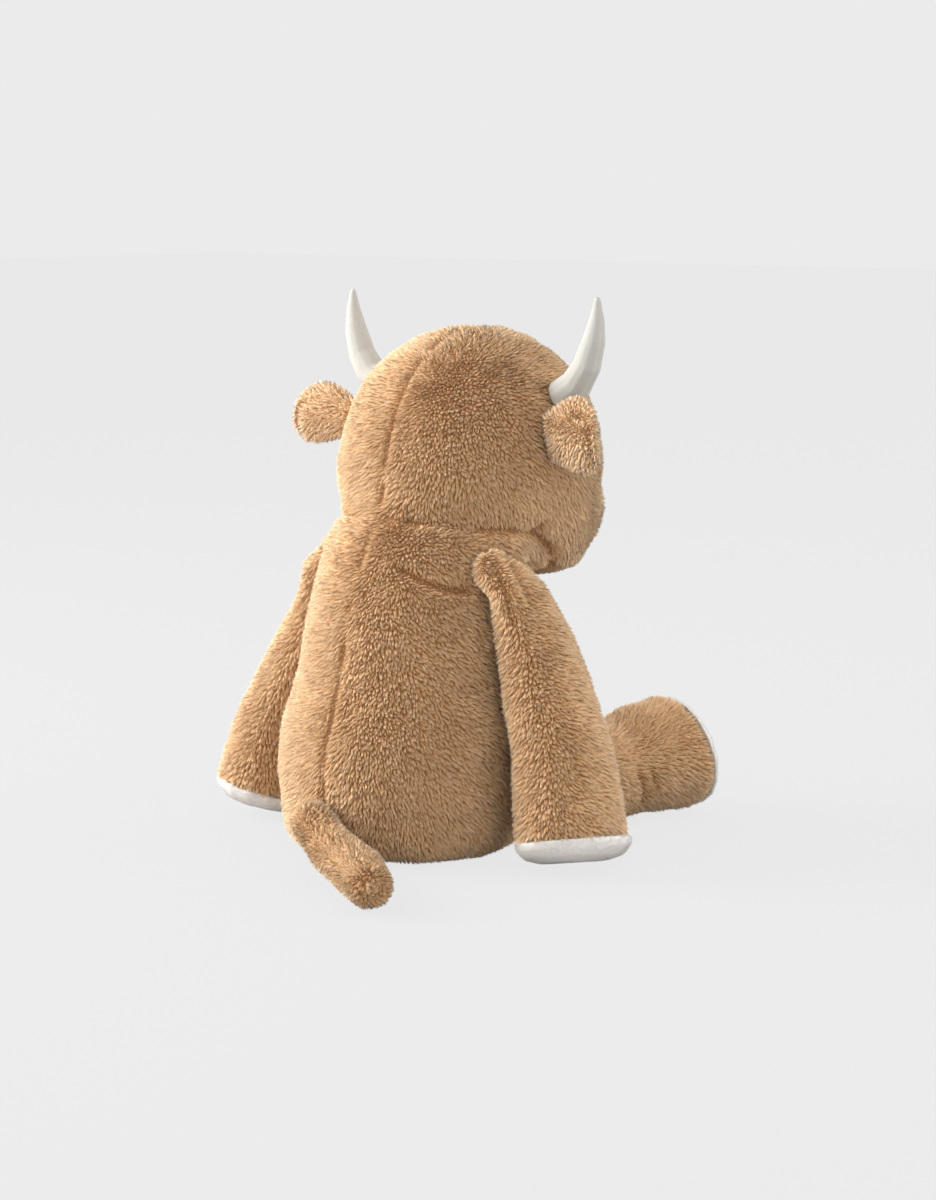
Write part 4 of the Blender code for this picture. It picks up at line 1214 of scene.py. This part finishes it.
def eye(side, word, mats):
    """Smooth domed eye with a rolled rim."""
    place, way = eye_place(side)
    across = way.orthogonal().normalized()
    along = way.cross(across)
    profile = [(EYE_BACK, EYE_RADIUS * EYE_BACK_SHARE), (EYE_FLARE, EYE_RADIUS), (EYE_RIM, EYE_RADIUS)]
    for step in range(1, EYE_STEPS):
        angle = math.pi / 2 * step / EYE_STEPS
        profile.append((EYE_RIM + EYE_DOME * math.sin(angle), EYE_RADIUS * math.cos(angle)))
    places = []
    for out, radius in profile:
        for step in range(EYE_SIDES):
            angle = math.tau * step / EYE_SIDES
            places.append(place + way * out + (across * math.cos(angle) + along * math.sin(angle)) * radius)
    places += [place + way * EYE_BACK, place + way * (EYE_RIM + EYE_DOME)]
    faces = tube_faces(len(profile), EYE_SIDES)
    last = (len(profile) - 1) * EYE_SIDES
    for step in range(EYE_SIDES):
        after = (step + 1) % EYE_SIDES
        faces += [(after, step, len(places) - 2), (last + step, last + after, len(places) - 1)]
    add_piece("eye_dome_" + word, np.array(places), np.array(faces), mats["eye"], "head", "eye_black",
              ["eye_" + word])


def on_patch(tree, x, z):
    """Place on the front of the nose patch at a height and a distance across."""
    return tree.ray_cast(Vector((x, -1.0, z)), Vector((0.0, 1.0, 0.0)))[0]


def thread(name, spots, radius, mats):
    """A sewing thread that follows spots on the nose patch."""
    spots = np.array(spots)
    way = unit(np.gradient(spots, axis=0))
    side = unit(np.cross(way, np.array((0.0, 1.0, 0.0))))
    out = np.cross(side, way)
    shares = np.sqrt(np.sin(np.linspace(THREAD_TAPER, math.pi - THREAD_TAPER, len(spots))))
    places = []
    for step in range(THREAD_SIDES):
        angle = math.tau * step / THREAD_SIDES
        rim = side * math.cos(angle) + out * math.sin(angle)
        places.append(spots + rim * (radius * shares)[:, None])
    places = np.stack(places, 1).reshape(-1, 3)
    faces = np.array(tube_faces(len(spots), THREAD_SIDES))[:, ::-1]
    add_piece(name, places, faces, mats["thread"], "head", "tan_fur")


def add_stitches(mats):
    """Nostrils of close stitches and a stitched mouth."""
    patch = bmesh.new()
    patch.from_mesh(bpy.data.objects["nose_patch"].data)
    tree = BVHTree.FromBMesh(patch)
    for side, word in SIDES:
        for row in range(NOSTRIL_ROWS):
            share = 2.0 * row / (NOSTRIL_ROWS - 1) - 1.0
            half = NOSTRIL_HALF[1] * math.sqrt(NOSTRIL_ROUND - share ** 2)
            x = side * NOSTRIL_ACROSS + share * NOSTRIL_HALF[0]
            spots = [on_patch(tree, x, NOSTRIL_UP + half * part) for part in NOSTRIL_PARTS]
            thread(f"nostril_{word}_{row}", spots, THREAD_RADIUS, mats)
    mouth = []
    for step in range(MOUTH_STEPS + 1):
        share = 2.0 * step / MOUTH_STEPS - 1.0
        mouth.append(on_patch(tree, share * MOUTH_HALF, MOUTH_UP - MOUTH_DIP * (1.0 - share ** 2)))
    thread("mouth_thread", mouth, THREAD_RADIUS, mats)
    patch.free()


def add_camera():
    data = bpy.data.cameras.new("camera")
    data.lens = CAMERA_LENS
    data.shift_x = CAMERA_SHIFT
    camera = placed("camera", data)
    camera.location = CAMERA_PLACE
    camera.rotation_euler = Euler((math.pi / 2 - CAMERA_PITCH, 0.0, CAMERA_AZIMUTH))
    bpy.context.scene.camera = camera


def seen_share(tree):
    """1 where the camera, a reflection or clear glass looks at the backdrop."""
    path = tree.nodes.new("ShaderNodeLightPath")
    share = path.outputs["Is Camera Ray"]
    for ray in ("Is Glossy Ray", "Is Transmission Ray"):
        either = tree.nodes.new("ShaderNodeMath")
        either.operation = "MAXIMUM"
        tree.links.new(share, either.inputs[0])
        tree.links.new(path.outputs[ray], either.inputs[1])
        share = either.outputs[0]
    return share


def mix_seen(tree, share, plain, seen, output):
    """Put one shader out, and another one by the share in which the backdrop is seen."""
    mix = tree.nodes.new("ShaderNodeMixShader")
    for step, socket in enumerate((share, plain.outputs[0], seen.outputs[0])):
        tree.links.new(socket, mix.inputs[step])
    tree.links.new(mix.outputs[0], tree.nodes[output].inputs["Surface"])


def add_world():
    world = bpy.data.worlds.new("studio")
    world.use_nodes = True
    tree = world.node_tree
    light = tree.nodes["Background"]
    light.inputs["Color"].default_value = (1.0, 1.0, 1.0, 1.0)
    light.inputs["Strength"].default_value = WORLD_STRENGTH
    seen = tree.nodes.new("ShaderNodeBackground")
    seen.inputs["Color"].default_value = (*BACKDROP, 1.0)
    mix_seen(tree, seen_share(tree), light, seen, "World Output")
    bpy.context.scene.world = world


def add_light(name, place, power, size, colour):
    data = bpy.data.lights.new(name, "AREA")
    data.energy = power
    data.size = size
    data.color = colour
    lamp = placed(name, data)
    lamp.location = place
    lamp.rotation_euler = (LIGHT_AIM - Vector(place)).to_track_quat("-Z", "Y").to_euler()


def add_floor():
    corners = np.array([(-1, -1, 0), (1, -1, 0), (1, 1, 0), (-1, 1, 0)])
    places = corners * FLOOR_REACH - np.array((0, 0, FLOOR_DROP))
    material, tree, shader = principled("floor", FLOOR_COLOUR, *FLOOR_FINISH)
    glow = tree.nodes.new("ShaderNodeEmission")
    glow.inputs["Color"].default_value = (*BACKDROP, 1.0)
    share = tree.nodes.new("ShaderNodeMath")
    share.operation = "MULTIPLY"
    share.inputs[1].default_value = FLOOR_GLOW_SHARE
    tree.links.new(seen_share(tree), share.inputs[0])
    mix_seen(tree, share.outputs[0], shader, glow, "Material Output")
    make_object("floor", places, np.array([(0, 1, 2, 3)]), material)


def make_materials():
    mats = {
        "fur": strand_material("tan_strands", FUR_STOPS, *FUR_PATCHES),
        "pale": strand_material("pale_strands", PALE_STOPS, *PALE_PATCHES),
    }
    for word, *finish in CLOTHS:
        mats[word] = cloth_material(*finish)
    for word, *finish in MOULDINGS:
        mats[word] = gloss_material(*finish)
    return mats


def main():
    add_camera()
    add_world()
    for lamp in LAMPS:
        add_light(*lamp)
    add_floor()
    bpy.context.scene.view_settings.view_transform = "Standard"
    mats = make_materials()
    build_trunk(mats)
    dress("tail", ["tail_cover", "tail_stuffing"], combed(TAIL_COMB), mats, fur=FUR_TAIL)
    pad("nose_patch", "nose_pad", "head", mats, small_nose, "nose_cloth", False)
    add_stitches(mats)
    for _, word in SIDES:
        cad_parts["eye_washer_" + word].material_slots[0].material = mats["washer"]
    for side, word in SIDES:
        dress("arm_" + word, ["arm_cover_" + word, "arm_stuffing_" + word], combed(ARM_COMB, side), mats,
              end="hoof_pad_" + word, rise=HAND_PAD_RISE, darts=mirrored(ARM_DARTS, side),
              reshape=slim_shoulder(side))
        dress("leg_" + word, ["leg_cover_" + word, "leg_stuffing_" + word], combed(LEG_COMB, side), mats,
              end="sole_pad_" + word, rise=FOOT_PAD_RISE, darts=mirrored(LEG_DARTS, side))
        dress("ear_" + word, ["ear_back_" + word, "ear_lining_" + word], ear_flow(side), mats, small=True,
              darts=mirrored(EAR_CREASE, side), reshape=curled_ear(side), fur=FUR_EAR)
        pad("hand_pad_" + word, "hoof_pad_" + word, "arm_" + word, mats, tall_pad)
        pad("foot_pad_" + word, "sole_pad_" + word, "leg_" + word, mats)
        horn(side, word, mats)
        eye(side, word, mats)


main()
